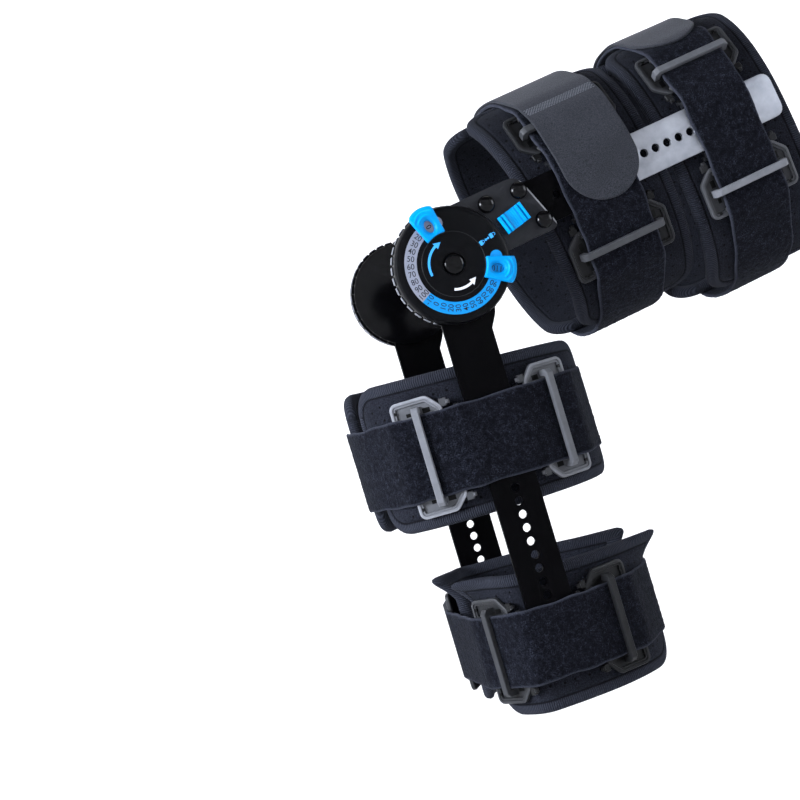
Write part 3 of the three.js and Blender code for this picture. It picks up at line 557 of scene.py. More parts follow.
def cover_material():
    """A deep black dial on a greyer plate with a painted highlight along its far edge."""
    s, wear = moulded("cover_black", 0.08, (0.34, 0.46), 0.2)
    plate = s.span(radius_from_knee(s), DIAL.radius - 0.2, DIAL.radius + 0.3)
    # Painted highlight: the plate turns light in a band along its far edge.
    bend = math.radians(PLATE_HIGHLIGHT.angle)
    way = (math.cos(bend), 0, math.sin(bend))
    reach = s.add("VectorMath", {0: s.coords(), 1: way}, out=1, operation="DOT_PRODUCT")
    start, full = ((PLATE_HIGHLIGHT.distance - inside) * MM for inside in (PLATE_HIGHLIGHT.start, PLATE_HIGHLIGHT.full))
    face = s.mix(s.span(reach, start, full), s.mix(worn(s, wear), *COLORS.plate), COLORS.plate_end)
    s.set("Base Color", s.mix(plate, s.mix(worn(s, wear), *COLORS.dial), face))
    return s.material


def bar_material():
    """A black bar whose notched disc has painted bright glints on each tooth tip at the front."""
    s, wear = moulded("bar_black", 0.03, (0.4, 0.55), 0.25)
    radius = radius_from_knee(s)
    # Painted glints: a light colour on the disc's tips towards the front.
    front = s.span(s.part(s.coords(), 0), *(x * MM for x in TEETH_GLINT.front))
    teeth = s.times(s.span(radius, *TEETH_GLINT.inner), s.span(radius, *TEETH_GLINT.outer), front)
    s.set("Base Color", s.mix(teeth, s.mix(worn(s, wear), *COLORS.bar), COLORS.teeth))
    return s.material


def toned_material(name, specular, rough, grain, scale, colors, low, high):
    """Moulded plastic whose lightness is carried by the pieces' own values, which hold painted highlights
    and shade.
    """
    s, wear = moulded(name, specular, rough, grain, scale)
    tone = s.times(s.attribute("tone", "Fac"), worn(s, wear, low, high))
    s.set("Base Color", s.mix(tone, *colors))
    return s.material


def buckle_material():
    return toned_material("buckle_plastic", 0.15, (0.36, 0.5), 0.2, GRAIN.buckle_wear, COLORS.buckle,
                          low=0.85, high=1.15)


def blue_material():
    return toned_material("azure_blue", 0.08, (0.3, 0.42), 0.05, GRAIN.wear, COLORS.blue, low=0.47,
                          high=0.53)


def brushed_material(axis):
    """Clouded aluminium with fine lines along a limb."""
    s = Shader("brushed_aluminium", metallic=1.0, anisotropic=0.4)
    stretch = {"Vector": s.coords(), "Rotation": (0, math.radians(axis), 0), "Scale": (12, 300, 900)}
    lines = s.add("TexNoise", {"Vector": s.add("Mapping", stretch), "Scale": 3.0, "Detail": 4.0})
    cloud = s.noise(GRAIN.cloud, detail=4.0, roughness=0.6)
    s.set("Base Color", s.mix(s.span(cloud, 0.3, 0.7), *COLORS.aluminium))
    s.set("Roughness", s.span(cloud, 0.25, 0.75, 0.5, 0.6))
    s.set("Normal", s.bump(lines, strength=0.12, distance=0.0002))
    return s.material


MATERIALS = {
    "strap": strap_material(),
    "hook": hook_material(),
    "pad": pad_material(),
    "cover_black": cover_material(),
    "bar_black": bar_material(),
    "bar_bright": brushed_material(THIGH_RISE),
    "blue": blue_material(),
    "buckle": buckle_material(),
}
MATERIALS.update({name: plastic_material(name, *look) for name, *look in PLASTICS})


# Cuffs: pads

def section(cuff, angle, lift):
    """The limb's outline under a cuff at an angle from its front, as (n, w)."""
    c, s = np.cos(angle), np.sin(angle)
    power = 2 / SECTION_POWER
    depth = np.where(c > 0, cuff.front, cuff.rear)
    n = cuff.centre + (depth + lift) * np.sign(c) * np.abs(c) ** power
    w = (HALF_WIDTH + lift) * np.sign(s) * np.abs(s) ** power
    return n, w


def corner_inset(columns, total, radius):
    """How far a rounded corner draws in the edge of a pad, at places along it."""
    short = np.clip(radius - np.minimum(columns, total - columns), 0, radius)
    return radius - np.sqrt(radius ** 2 - short ** 2)


def pad_faces(seed):
    """Heights of a pad's outer and inner face, from the place on it and the distance to its edge."""
    half = PAD.thick / 2
    relief = PAD_RELIEF

    def seam(d, depth):
        return depth * bell(d - BINDING - SEAM.off, SEAM.wide)

    def outer(u, t, d):
        crown = relief.crown * np.sin(np.pi * np.clip(d / BINDING, 0, 1))
        swell = relief.swell * (1 - np.exp(-np.clip(d - BINDING, 0, None) / relief.swell_reach))
        ripple = relief.ripple * waves(u + relief.slant * t, relief.period, relief.count, seed)
        ripple = ripple * np.clip(d / relief.fade, 0, 1)
        return -half + rolled(d, half) + crown - seam(d, SEAM.outer) + swell + ripple

    def inner(u, t, d):
        return -half - rolled(d, half) + seam(d, SEAM.inner)

    return outer, inner


def make_pad(cuff, side):
    limb = LIMBS[cuff.limb]
    first, last = cuff.pad
    angles = np.radians(np.linspace(*PAD.angles, PAD.samples))
    lengths = loop_lengths(np.stack(section(cuff, angles, 0), axis=1))
    total = lengths[-1]
    fineness = (PAD.fine, PAD.coarse, BINDING + 3)
    columns = graded(total, *fineness)
    shares = graded(last - first, *fineness) / (last - first)
    start = first - cuff.slant * np.cos(np.interp(columns, lengths, angles))
    low = start + corner_inset(columns, total, cuff.corner[0])
    high = last - corner_inset(columns, total, cuff.corner[1])
    edge = np.vstack([np.column_stack([columns, low]), np.column_stack([columns, high])[::-1]])
    edge = resampled(edge, PAD.edge_step)

    def distance(u, t):
        return np.min(np.hypot(u[..., None] - edge[:, 0], t[..., None] - edge[:, 1]), axis=-1)

    def surface(u, t, lift):
        from_end = np.clip(1 - np.minimum(u, total - u) / FLARE.end_reach, 0, 1)
        from_edge = np.clip(1 - (t - np.interp(u, columns, start)) / FLARE.edge_reach, 0, 1)
        lift = lift + cuff.flare * from_end ** FLARE.end_power * from_edge ** FLARE.edge_power
        n, w = section(cuff, np.interp(u, lengths, angles), lift)
        return limb.place(t, n, SIDES[side] * w)

    faces_of = pad_faces(len(cuff.name) + cuff.rear + SIDES[side])
    verts, faces, cloth = panel(columns, low, high, shares, distance, surface, *faces_of)
    at_end = np.minimum(cloth[:, 0], total - cloth[:, 0]) < cloth[:, 2] + 0.5
    run = np.where(at_end, cloth[:, 1], cloth[:, 0])
    name = f"{cuff.name}_{side}_pad"
    piece = make_piece(name + "_foam", verts, faces, "pad", BODIES[cuff.limb], "pad_fabric",
                       {"cloth": cloth, "run": run, "tone": np.full(len(verts), cuff.tone)})
    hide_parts(name)


# Cuffs: straps

def strap_path(cuff):
    points = LIMBS[cuff.limb].read(node_points(cuff.name + "_strap"))[:, 1:]
    return softened(resampled(convex_hull(points), STRAP.step), STRAP.soften)


def strap_profile(width):
    """The closed outline across a strap as rows of (t, depth below the outer face)."""
    half, thick = width / 2, STRAP.thick
    round_edge = thick / 2
    flat = half - round_edge
    face = np.linspace(-flat, flat, int(width / STRAP.step))
    turn = np.radians(np.linspace(90, -90, STRAP.edge_points)[1:-1])
    edge = np.column_stack([flat + round_edge * np.cos(turn), round_edge - round_edge * np.sin(turn)])
    back = np.linspace(flat, -flat, STRAP.back_points)
    return np.vstack([
        np.column_stack([face, np.zeros_like(face)]), edge,
        np.column_stack([back, np.full_like(back, thick)]), edge[::-1] * (-1, 1),
    ])


def strap_relief(places, total, profile, width, seed):
    """How deep each point of a strap lies below its path, and how far it strays across."""
    relief = STRAP_RELIEF
    fluff = rng.normal(0, relief.fluff, (len(places), len(profile)))
    fluff[:, profile[:, 1] > STRAP.thick - relief.plain_back] = 0
    share = profile[:, 0] / width
    sway = relief.sway * waves(places, total, relief.sway_count, seed)[:, None]
    twist = relief.twist * np.outer(waves(places, total, relief.twist_count, seed + 1), share)
    ragged = relief.ragged * waves(places, total, relief.ragged_count, seed + 2)[:, None]
    stray = ragged * (share * 2)[None, :] ** relief.ragged_power
    return profile[None, :, 1] - fluff - (sway + twist), stray


def make_strap(cuff):
    path = strap_path(cuff)
    normal = loop_normals(path)
    mid, width = cuff.strap
    profile = strap_profile(width)
    places = loop_lengths(path)
    total = places[-1] + STRAP.step
    depth, stray = strap_relief(places, total, profile, width, cuff.rear)
    n, w = (path[:, None, k] - depth * normal[:, None, k] for k in (0, 1))
    verts = LIMBS[cuff.limb].place(mid + profile[None, :, 0] + stray, n, w).reshape(-1, 3)
    faces = grid_faces(len(path), len(profile), wrap_rows=True, wrap_cols=True)
    across = np.column_stack([profile[:, 0], width / 2 - np.abs(profile[:, 0])])
    cloth = np.column_stack([np.repeat(places, len(profile)), np.tile(across, (len(path), 1))])
    name = cuff.name + "_strap"
    piece = make_piece(name + "_band", verts, faces, "strap", BODIES[cuff.limb], "strap_fabric",
                       {"cloth": cloth})
    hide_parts(name)


# Cuffs: hook tabs

def stitch_solid(surface, outer, u, t):
    """One short thread that lies along t on a hook tab."""
    sides = STITCH.sides
    long = np.linspace(-1, 1, sides)[:, None]
    thick = np.sqrt(1 - STITCH.taper * long ** 2)
    turn = np.linspace(0, FULL_TURN, sides, endpoint=False)
    across = u + STITCH.half_thick * thick * np.cos(turn)
    along = t + STITCH.half_long * np.repeat(long, sides, axis=1)
    lift = STITCH.half_thick * (STITCH.rise + thick * np.sin(turn))
    lift = lift + outer(across, along, np.full_like(across, TAB.thick))
    return surface(across, along, lift).reshape(-1, 3), capped_faces(sides, sides)


def make_stitches(name, surface, outer, place, half, body):
    """Rows of short threads across a hook tab, every other row shifted."""
    solids = []
    for row in range(STITCH.rows):
        u = place + (row - (STITCH.rows - 1) / 2) * STITCH.row_gap
        shift = (row % 2) * STITCH.pitch / 2
        for t in np.arange(-half + STITCH.margin, half - STITCH.margin, STITCH.pitch):
            solids.append(stitch_solid(surface, outer, u, t + shift))
    make_piece(name, *joined(solids), "thread", body, "hook_fabric")


def tab_path(tab, cuff):
    """Where a tab runs over its strap, and over a buckle if one lies under it: points and normals."""
    under = strap_path(cuff)
    if tab.over:
        under = np.vstack([under, LIMBS[cuff.limb].read(node_points(tab.over))[:, 1:]])
    loop = softened(resampled(convex_hull(under), STRAP.step), STRAP.soften)
    loop = loop + (TAB.gap + TAB.thick) * loop_normals(loop)
    angle = np.degrees(np.arctan2(loop[:, 1], loop[:, 0]))
    order = np.argsort(angle)
    keep = [k for k in order if angle[k] >= tab.start and loop[k, 0] >= tab.end_forward]
    return loop[keep], loop_normals(loop)[keep]


def make_hook_tab(tab):
    cuff = next(row for row in CUFFS if row.name == tab.cuff)
    path, normal = tab_path(tab, cuff)
    lengths = loop_lengths(path)
    total = lengths[-1]
    half, half_thick = tab.width / 2, TAB.thick / 2
    plain = np.arange(0, total - TAB.end_reach, STRAP.step)
    columns = np.concatenate([plain, total - np.linspace(TAB.end_root, 0, TAB.end_points) ** 2])
    short = np.clip(half - (total - columns), 0, half)
    reach = np.maximum(np.sqrt(half ** 2 - short ** 2), TAB.tip_half)
    shares = graded(tab.width, TAB.fine, STRAP.step, TAB.fine_reach) / tab.width

    def distance(u, t):
        round_end = half - np.hypot(np.maximum(half - (total - u), 0), t)
        return np.minimum(round_end, u)

    def surface(u, t, lift):
        n, w = (np.interp(u, lengths, path[:, k]) + lift * np.interp(u, lengths, normal[:, k])
                for k in (0, 1))
        return LIMBS[cuff.limb].place(cuff.strap[0] + tab.skew * u / total + t, n, w)

    def outer(u, t, d):
        sway = waves(u + TAB_SWAY.slant * t, TAB_SWAY.period, TAB_SWAY.count, cuff.rear + 5)
        return -half_thick + rolled(d, half_thick) + TAB_SWAY.height * sway

    def inner(u, t, d):
        return -half_thick - rolled(d, half_thick)

    verts, faces, cloth = panel(columns, -reach, reach, shares, distance, surface, outer, inner)
    name, body = tab.cuff + "_hook_tab", BODIES[cuff.limb]
    piece = make_piece(name + "_cloth", verts, faces, "hook", body, "hook_fabric", {"cloth": cloth})
    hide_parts(name)
    if tab.band_from_end:
        make_stitches(name + "_stitches", surface, outer, total - tab.band_from_end, half, body)


for cuff in CUFFS:
    for side in SIDES:
        make_pad(cuff, side)
for cuff in CUFFS:
    make_strap(cuff)
for tab in HOOK_TABS:
    make_hook_tab(tab)


# Hard pieces kept from the frame

def smooth_group():
    """Smooth shading on all but the sharp edges."""
    group = bpy.data.node_groups.new("smooth_by_angle", "GeometryNodeTree")
    for way in ("INPUT", "OUTPUT"):
        group.interface.new_socket("Geometry", in_out=way, socket_type="NodeSocketGeometry")
    nodes, links = group.nodes, group.links
    first, last = nodes.new("NodeGroupInput"), nodes.new("NodeGroupOutput")
    faces, edges = nodes.new("GeometryNodeSetShadeSmooth"), nodes.new("GeometryNodeSetShadeSmooth")
    edges.domain = "EDGE"
    edges.inputs["Shade Smooth"].default_value = False
    angle, sharp = nodes.new("GeometryNodeInputMeshEdgeAngle"), nodes.new("FunctionNodeCompare")
    sharp.operation = "GREATER_THAN"
    sharp.inputs[1].default_value = math.radians(SMOOTH_ANGLE)
    links.new(first.outputs[0], faces.inputs["Geometry"])
    links.new(faces.outputs[0], edges.inputs["Geometry"])
    links.new(angle.outputs[0], sharp.inputs[0])
    links.new(sharp.outputs[0], edges.inputs["Selection"])
    links.new(edges.outputs[0], last.inputs[0])
    return group


SMOOTH = smooth_group()


def finish_node(node, material, bevel):
    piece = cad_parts[node]
    piece.data.materials.clear()
    piece.data.materials.append(MATERIALS[material])
    piece.modifiers.new("weld", "WELD").merge_threshold = NODE_WELD
    flat = piece.modifiers.new("flat", "DECIMATE")
    flat.decimate_type = "DISSOLVE"
    flat.angle_limit = math.radians(FLAT_ANGLE)
    round_edge = piece.modifiers.new("round", "BEVEL")
    round_edge.width = bevel * MM
    round_edge.segments = 2
    round_edge.limit_method = "ANGLE"
    round_edge.angle_limit = math.radians(ROUND_ANGLE)
    piece.modifiers.new("smooth", "NODES").node_group = SMOOTH


for side in SIDES:
    for part, material, bevel in HINGE_NODES:
        finish_node(f"{side}_{part}", material, bevel)
    for cuff in CUFFS:
        finish_node(f"{cuff.name}_{side}_carrier", "carrier_black", CARRIER_BEVEL)


# Solids in a local frame, in millimetres: vertices and a list of faces

def rounded_outline(corners, arc):
    """Corners as (x, y, radius) joined by straight lines, counter-clockwise."""
    points = []
    for k, (x, y, radius) in enumerate(corners):
        here = np.array([x, y], float)
        if not radius:
            points.append(here)
            continue
        before = np.array(corners[k - 1][:2], float) - here
        after = np.array(corners[(k + 1) % len(corners)][:2], float) - here
        before /= np.linalg.norm(before)
        after /= np.linalg.norm(after)
        half = math.acos(np.clip(before @ after, -1, 1)) / 2
        middle = before + after
        centre = here + middle / np.linalg.norm(middle) * radius / math.sin(half)
        first = here + before * radius / math.tan(half) - centre
        last = here + after * radius / math.tan(half) - centre
        sweep = math.pi - 2 * half
        for share in np.linspace(0, 1, arc + 1):
            swing = first * math.sin((1 - share) * sweep) + last * math.sin(share * sweep)
            points.append(centre + swing / math.sin(sweep))
    return np.array(points)


def rectangle(x0, y0, x1, y1):
    return [(x0, y0), (x1, y0), (x1, y1), (x0, y1)]


def polar(radius, angles):
    return np.column_stack([radius * np.cos(angles), radius * np.sin(angles)])


def stacked(outline, rings):
    """A solid through copies of a counter-clockwise outline, drawn in and raised by (inset, height)."""
    outline = np.asarray(outline, float)
    ahead = np.roll(outline, -1, axis=0) - outline
    inward = np.stack([-ahead[:, 1], ahead[:, 0]], axis=1) / np.linalg.norm(ahead, axis=1)[:, None]
    inward = inward + np.roll(inward, 1, axis=0)
    inward /= np.sum(inward ** 2, axis=1)[:, None] / 2
    count = len(outline)
    verts = np.vstack([np.column_stack([outline + inset * inward, np.full(count, z)])
                       for inset, z in rings])
    return verts, capped_faces(len(rings), count)


def prism(outline, low, high, bevel=0.0):
    """A plate with bevelled edges."""
    if bevel:
        return stacked(outline, [(bevel, low), (0, low + bevel), (0, high - bevel), (bevel, high)])
    return stacked(outline, [(0, low), (0, high)])


def lathe(profile, sides, closed=False):
    """A profile of (radius, height) turned round the axis: closed, or from the axis to the axis."""
    turn = np.linspace(0, FULL_TURN, sides, endpoint=False)
    rows = [np.column_stack([polar(r, turn), np.full(sides, z)]) for r, z in profile]
    return np.vstack(rows), grid_faces(len(rows), sides, closed, True).tolist()


def drum(radius, low, high, sides):
    return lathe([(0, low), (radius, low), (radius, high), (0, high)], sides)


def sharpen(piece, angle):
    piece.data.set_sharp_from_angle(angle=math.radians(angle))


# Buckles: a flat frame with a moulded ear past each edge of the strap, and a bar that bridges it

def ear_solid(strap_half, end):
    """A rounded end of the frame, terraced down to a bowl, and each vertex's share of painted light: bright
    rims and a shaded bowl.
    """
    half, ear, tuck = BUCKLE.half, BUCKLE.ear, BUCKLE.tuck
    corners = [(half, EAR.shoulder * ear), (EAR.peak * half, ear), (-half, ear)]
    rounded = [(*corner, radius) for corner, radius in zip(corners, EAR.radii)]
    outline = rounded_outline([(-half, -tuck, 0), (half, -tuck, 0), *rounded], EAR.arc)
    verts, faces = stacked(outline, [(inset, height) for inset, height, _ in EAR_RINGS])
    rim_light_shares = np.repeat([tone for *_, tone in EAR_RINGS], len(outline))
    return (verts * (1, end, 1) + (0, end * strap_half, 0), faces), rim_light_shares


def lug_solids(strap_half, end):
    """The plate and the round pin that join one ear to the carrier."""
    inside, outside = BUCKLE.half - LUG.inside, BUCKLE.half + LUG.outside
    near, far = sorted((end * (strap_half + LUG.near), end * (strap_half + LUG.far)))
    corner = LUG.corner
    outline = [(inside, near, 0), (outside, near, corner), (outside, far, corner), (inside, far, 0)]
    plate = prism(rounded_outline(outline, 3), LUG.low, LUG.high, LUG.bevel)
    radius, length, chamfer = BARREL.radius, BARREL.length, BARREL.chamfer
    profile = [(0, 0), (radius - chamfer, 0), (radius, chamfer), (radius, length - chamfer),
               (radius - chamfer, length), (0, length)]
    pin, faces = lathe(profile, BARREL.sides)
    y = end * (strap_half + BARREL.past_strap) + end * pin[:, 2]
    pin = np.stack([BUCKLE.half + BARREL.x + pin[:, 0], y, BARREL.height + pin[:, 1]], axis=1)
    return plate, (pin, faces)


def ear_cuts(strap_half, end):
    """Dark plugs of painted shade that stand for a round hole and two slots in one ear."""
    verts, faces = drum(EAR_HOLE.radius, EAR_HOLE.low, EAR_HOLE.high, EAR_HOLE.sides)
    place = (EAR_HOLE.from_end - BUCKLE.half, end * (strap_half + EAR_HOLE.past_strap), 0)
    solids = [(verts + place, faces)]
    start = strap_half + SLOT.past_strap
    for row in EAR_SLOTS:
        low, high = sorted((end * start, end * (start + row.tall)))
        outline = rectangle(row.x - row.half, low, row.x + row.half, high)
        solids.append(prism(outline, SLOT.low, SLOT.high))
    return solids


def bridge_solid(strap_half):
    """A bar with chamfered sides whose ends turn down to the frame."""
    half, base, low, high = BRIDGE.half, BRIDGE.base, BRIDGE.low, BRIDGE.high
    slope, crease, chamfer = BRIDGE.slope, BRIDGE.crease, BRIDGE.chamfer
    end = strap_half + BRIDGE.overhang
    foot = end - BRIDGE.foot
    stations = [(-end, base, high - slope), (-end + slope, base, high - BRIDGE.drop),
                (-end + slope + BRIDGE.soften, base, high), (-foot - crease, base, high),
                (-foot, low - crease, high), (-foot + crease, low, high)]
    stations += [(-y, bottom, top) for y, bottom, top in stations[::-1]]
    rows = []
    for y, bottom, top in stations:
        right = [(half, y, bottom), (half, y, top - chamfer), (half - chamfer, y, top)]
        rows.append([(-half, y, bottom), *right, (-half + chamfer, y, top), (-half, y, top - chamfer)])
    return np.array(rows, float).reshape(-1, 3), capped_faces(len(rows), len(rows[0]))


def buckle_axes(cuff, node):
    """The frame's far bottom corner, the way to the carrier and the way out, as (n, w)."""
    limb = LIMBS[cuff.limb]
    points = limb.read(node_points(node))[:, 1:]
    hull = convex_hull(points)
    base = []
    for start, end in zip(hull, np.roll(hull, -1, axis=0)):
        way = (end - start) / np.linalg.norm(end - start)
        level = points[np.abs((points - start) @ (-way[1], way[0])) < LEVEL]
        ends = [level[np.argmin(level @ way)], level[np.argmax(level @ way)]]
        if not base or np.linalg.norm(ends[1] - ends[0]) > np.linalg.norm(base[1] - base[0]):
            base = ends
    beside = node.replace("front_buckle", "carrier").replace("rear_buckle", "carrier")
    carrier = limb.read(node_points(beside))
    base.sort(key=lambda p: -np.linalg.norm(p - carrier[:, 1:].mean(axis=0)))
    across = (base[1] - base[0]) / np.linalg.norm(base[1] - base[0])
    out = np.array([-across[1], across[0]])
    if (points.mean(axis=0) - base[0]) @ out < 0:
        out = -out
    return base[0], across, out


def buckle_solids(strap_half, tones_and_light):
    """All solids of a buckle, each with its lightness, which carries painted light."""
    rows = []
    for end in (-1, 1):
        ear, rim_light_shares = ear_solid(strap_half, end)
        plate, pin = lug_solids(strap_half, end)
        rows.append((ear, tones_and_light.frame * rim_light_shares))
        rows.append((plate, LUG.tone * tones_and_light.frame))
        rows.append((pin, BARREL.tone * tones_and_light.frame))
        # Painted shade: the plugs in the holes and slots are black.
        rows += [(solid, 0.0) for solid in ear_cuts(strap_half, end)]
    for x in (-BUCKLE.half, BUCKLE.half - BUCKLE.rail):
        outline = rectangle(x, -strap_half, x + BUCKLE.rail, strap_half)
        rail = prism(outline, BUCKLE.rail_low, BUCKLE.rail_high, BUCKLE.rail_bevel)
        rows.append((rail, tones_and_light.frame))
    rows.append((bridge_solid(strap_half), tones_and_light.bridge))
    return rows


def make_buckle(cuff, side, place):
    node = f"{cuff.name}_{side}_{place}_buckle"
    corner, across, out = buckle_axes(cuff, node)
    mid, width = cuff.strap
    rows = buckle_solids(width / 2, BUCKLE_TONES_AND_LIGHT[f"{cuff.name}_{place}"])
    verts, faces = joined([solid for solid, _ in rows])
    tone = np.concatenate([np.broadcast_to(value, len(solid[0])) for solid, value in rows])
    from_corner = verts[:, 0] + BUCKLE.half
    n, w = (corner[k] + from_corner * across[k] + verts[:, 2] * out[k] for k in (0, 1))
    placed = LIMBS[cuff.limb].place(mid + verts[:, 1], n, w)
    piece = make_piece(node + "_moulding", placed, faces, "buckle", BODIES[cuff.limb], "buckle_plastic",
                       {"tone": tone})
    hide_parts(node)
    sharpen(piece, ROUND_ANGLE)


for cuff in CUFFS:
    for side in SIDES:
        for place in ("front", "rear"):
            make_buckle(cuff, side, place)


# Dial: stops and slider

def dial_place(verts):
    """From the dial's own axes (along the thigh, forward, outward) to the frame."""
    return LIMBS["thigh"].place(verts[:, 0], verts[:, 1], verts[:, 2])


def turned(verts, angle):
    a = math.radians(angle)
    x, y = verts[:, 0], verts[:, 1]
    c, s = math.cos(a), math.sin(a)
    return np.column_stack([x * c - y * s, x * s + y * c, verts[:, 2]])


def stop_outline():
    """A stop from above, about the middle of its window: a hollow foot and a round nose."""
    inner, rim, tip = STOP.inner, STOP.rim, STOP.tip
    centre = (tip ** 2 - rim ** 2 - STOP.outer_half ** 2) / (2 * (tip - rim))
    y = np.linspace(-STOP.inner_half, STOP.inner_half, 14)
    foot = np.column_stack([np.sqrt(inner ** 2 - y ** 2), y])[::-1]
    swing = math.atan2(STOP.outer_half, rim - centre)
    nose = polar(tip - centre, np.linspace(-swing, swing, 24)) + (centre, 0)
    return resampled(np.vstack([foot, nose]), STOP.step) - (STOP.window, 0)


def stop_rays(outline):
    """Rays from a stop's window to its outline: angles, window's edge and radii."""
    bearing = np.arctan2(outline[:, 1], outline[:, 0])
    order = np.argsort(bearing)
    turn = np.linspace(-math.pi, math.pi, STOP.columns, endpoint=False)
    reach = np.interp(turn, bearing[order], np.hypot(*outline[order].T), period=FULL_TURN)
    hole = 1 / np.hypot(np.cos(turn) / STOP.window_long, np.sin(turn) / STOP.window_short)
    stretches = ((0, 0.3, 8), (0.3, 0.85, 22), (0.85, 1, 8))
    shares = np.unique(np.concatenate([np.linspace(*stretch) for stretch in stretches]))
    radius = hole[:, None] + shares[None, :] * (reach - hole)[:, None]
    return turn[:, None], hole[:, None], radius


def stop_relief(x, radius, turn, to_edge, to_hole):
    """The upper face of a stop, and its lightness with a painted highlight on the ribs and painted shade in
    the dish round the window.
    """
    relief = STOP_RELIEF
    fall = np.clip((x - relief.fall_from) / (STOP.tip - relief.fall_from), 0, 1) ** 2 * relief.fall
    ribs = sum(bell(radius - place, relief.rib_wide) for place in relief.ribs)
    ribs = ribs * np.clip((relief.rib_span - np.abs(turn)) / relief.rib_fade, 0, 1)
    round_edge = relief.round - rolled(to_edge, relief.round)
    dish = bell(to_hole, relief.dish_wide)
    top = STOP.top - fall + relief.rib * ribs - round_edge - relief.dish * dish
    # Painted highlight on the ribs and painted shade in the dish.
    return top, 1 + relief.rib_tone * ribs - relief.dish_tone * dish


def make_stop(node, body, angle):
    """A tab with an oval window, two curved ribs and a lip over the dial's edge."""
    outline = stop_outline()
    turn, hole, radius = stop_rays(outline)
    x, y = radius * np.cos(turn), radius * np.sin(turn)
    to_edge = np.min(np.hypot(x[..., None] - outline[:, 0], y[..., None] - outline[:, 1]), axis=-1)
    x = x + STOP.window
    top, tone = stop_relief(x, radius, turn, to_edge, radius - hole)
    under = np.where(x > STOP.rim + STOP.lip_past_rim, STOP.lip, STOP.bottom)
    top = np.maximum(top, under + STOP.least)
    rows, cols = x.shape
    verts = np.vstack([np.column_stack([x.ravel(), y.ravel(), level.ravel()]) for level in (top, under)])
    upper = grid_faces(rows, cols, wrap_rows=True)
    faces = [upper, upper[:, ::-1] + x.size]
    for edge in (0, cols - 1):
        ring = np.arange(rows) * cols + edge
        ahead = np.roll(ring, -1)
        faces.append(np.stack([ring, ahead, ahead + x.size, ring + x.size], axis=1))
    piece = make_piece(node + "_moulding", dial_place(turned(verts, angle)), np.vstack(faces), "blue", body,
                       "blue_plastic", {"tone": np.tile(tone.ravel(), 2)})
    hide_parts(node)
    sharpen(piece, STOP_SHARP)


# Painted shade: the hollow's walls and the grooves are darker.
def slider_tone(u):
    off = np.abs(u)
    wall_shade = bell(off - SLIDER_SHADE.wall_at * SLIDER_RELIEF.hollow, SLIDER_SHADE.wall_wide)
    groove_shade = bell(off - SLIDER_RELIEF.groove, SLIDER_SHADE.groove_wide)
    return SLIDER_SHADE.plain - SLIDER_SHADE.wall * wall_shade - SLIDER_SHADE.groove * groove_shade


def make_slider():
    """A thumb slide with a groove at each end and a hollow between them."""
    long, wide, bottom, top = SLIDER.length, SLIDER.width, SLIDER.bottom, SLIDER.top
    columns = graded(long, SLIDER.fine, SLIDER.step, SLIDER.end_reach) - long / 2
    shares = graded(wide, SLIDER.fine, SLIDER.wide_step, SLIDER.side_reach) / wide
    half = np.full_like(columns, wide / 2)
    mid = (bottom + top) / 2
    reach = math.hypot(SLIDER.along, SLIDER.forward)
    angle = math.degrees(math.atan2(SLIDER.forward, SLIDER.along))
    relief, round_edge = SLIDER_RELIEF, SLIDER.round

    def distance(u, t):
        return np.minimum(long / 2 - np.abs(u), wide / 2 - np.abs(t))

    def surface(u, t, z):
        verts = np.stack([reach + u, t, z], axis=-1)
        return dial_place(turned(verts.reshape(-1, 3), angle)).reshape(verts.shape)

    def outer(u, t, d):
        groove = relief.groove_deep * bell(np.abs(u) - relief.groove, relief.groove_wide, power=4)
        hollow = np.clip(1 - (u / relief.hollow) ** 2, 0, 1)
        ripple = relief.ripple * np.cos(FULL_TURN * u / relief.ripple_long) * (hollow > relief.ripple_from)
        height = top - groove - relief.hollow_deep * np.sqrt(hollow) + ripple
        return mid + (height - mid) * rolled(d, round_edge) / round_edge

    def inner(u, t, d):
        return mid - (mid - bottom) * rolled(d, round_edge) / round_edge

    verts, faces, cloth = panel(columns, -half, half, shares, distance, surface, outer, inner)
    node = "lateral_lock_slider"
    piece = make_piece(node + "_moulding", verts, faces, "blue", "lock_slider", "blue_plastic",
                       {"tone": slider_tone(cloth[:, 0])})
    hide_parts(node)
    sharpen(piece, STOP_SHARP)


# Dial: scale, signs and domes

def dial_piece(name, solids, material, slot):
    verts, faces = joined(solids)
    piece = make_piece(name, dial_place(verts), faces, material, "thigh_frame", slot)
    sharpen(piece, PRINT_SHARP)


def make_scale(row):
    """A band round part of the dial with one round end."""
    inner, outer, low, high = SCALE.inner, SCALE.outer, SCALE.low, SCALE.high
    angles = np.radians(np.linspace(row.start, row.end, SCALE.steps))
    band = prism(np.vstack([polar(outer, angles), polar(inner, angles)[::-1]]), low, high)
    end = math.radians(row.round_at)
    mid = (inner + outer) / 2
    disc, faces = drum((outer - inner) / 2, low, high - SCALE.end_drop, SCALE.end_sides)
    disc = disc + (mid * math.cos(end), mid * math.sin(end), 0)
    dial_piece(f"dial_scale_{row.name}", [band, (disc, faces)], f"scale_{row.name}", row.slot)


def text_solid(text, low, high):
    """A number as a thin solid, centred on its own origin."""
    curve = bpy.data.curves.new("number", "FONT")
    curve.body = text
    curve.size = DIGIT.size
    curve.align_x = "CENTER"
    curve.align_y = "CENTER"
    curve.resolution_u = DIGIT.fineness
    curve.offset = DIGIT.swell * DIGIT.size
    curve.extrude = (high - low) / 2
    holder = add_object("number", curve)
    mesh = holder.to_mesh()
    verts = np.array([v.co[:] for v in mesh.vertices])
    faces = [list(p.vertices) for p in mesh.polygons]
    holder.to_mesh_clear()
    bpy.data.objects.remove(holder)
    bpy.data.curves.remove(curve)
    verts[:, 2] += (low + high) / 2
    return verts, faces


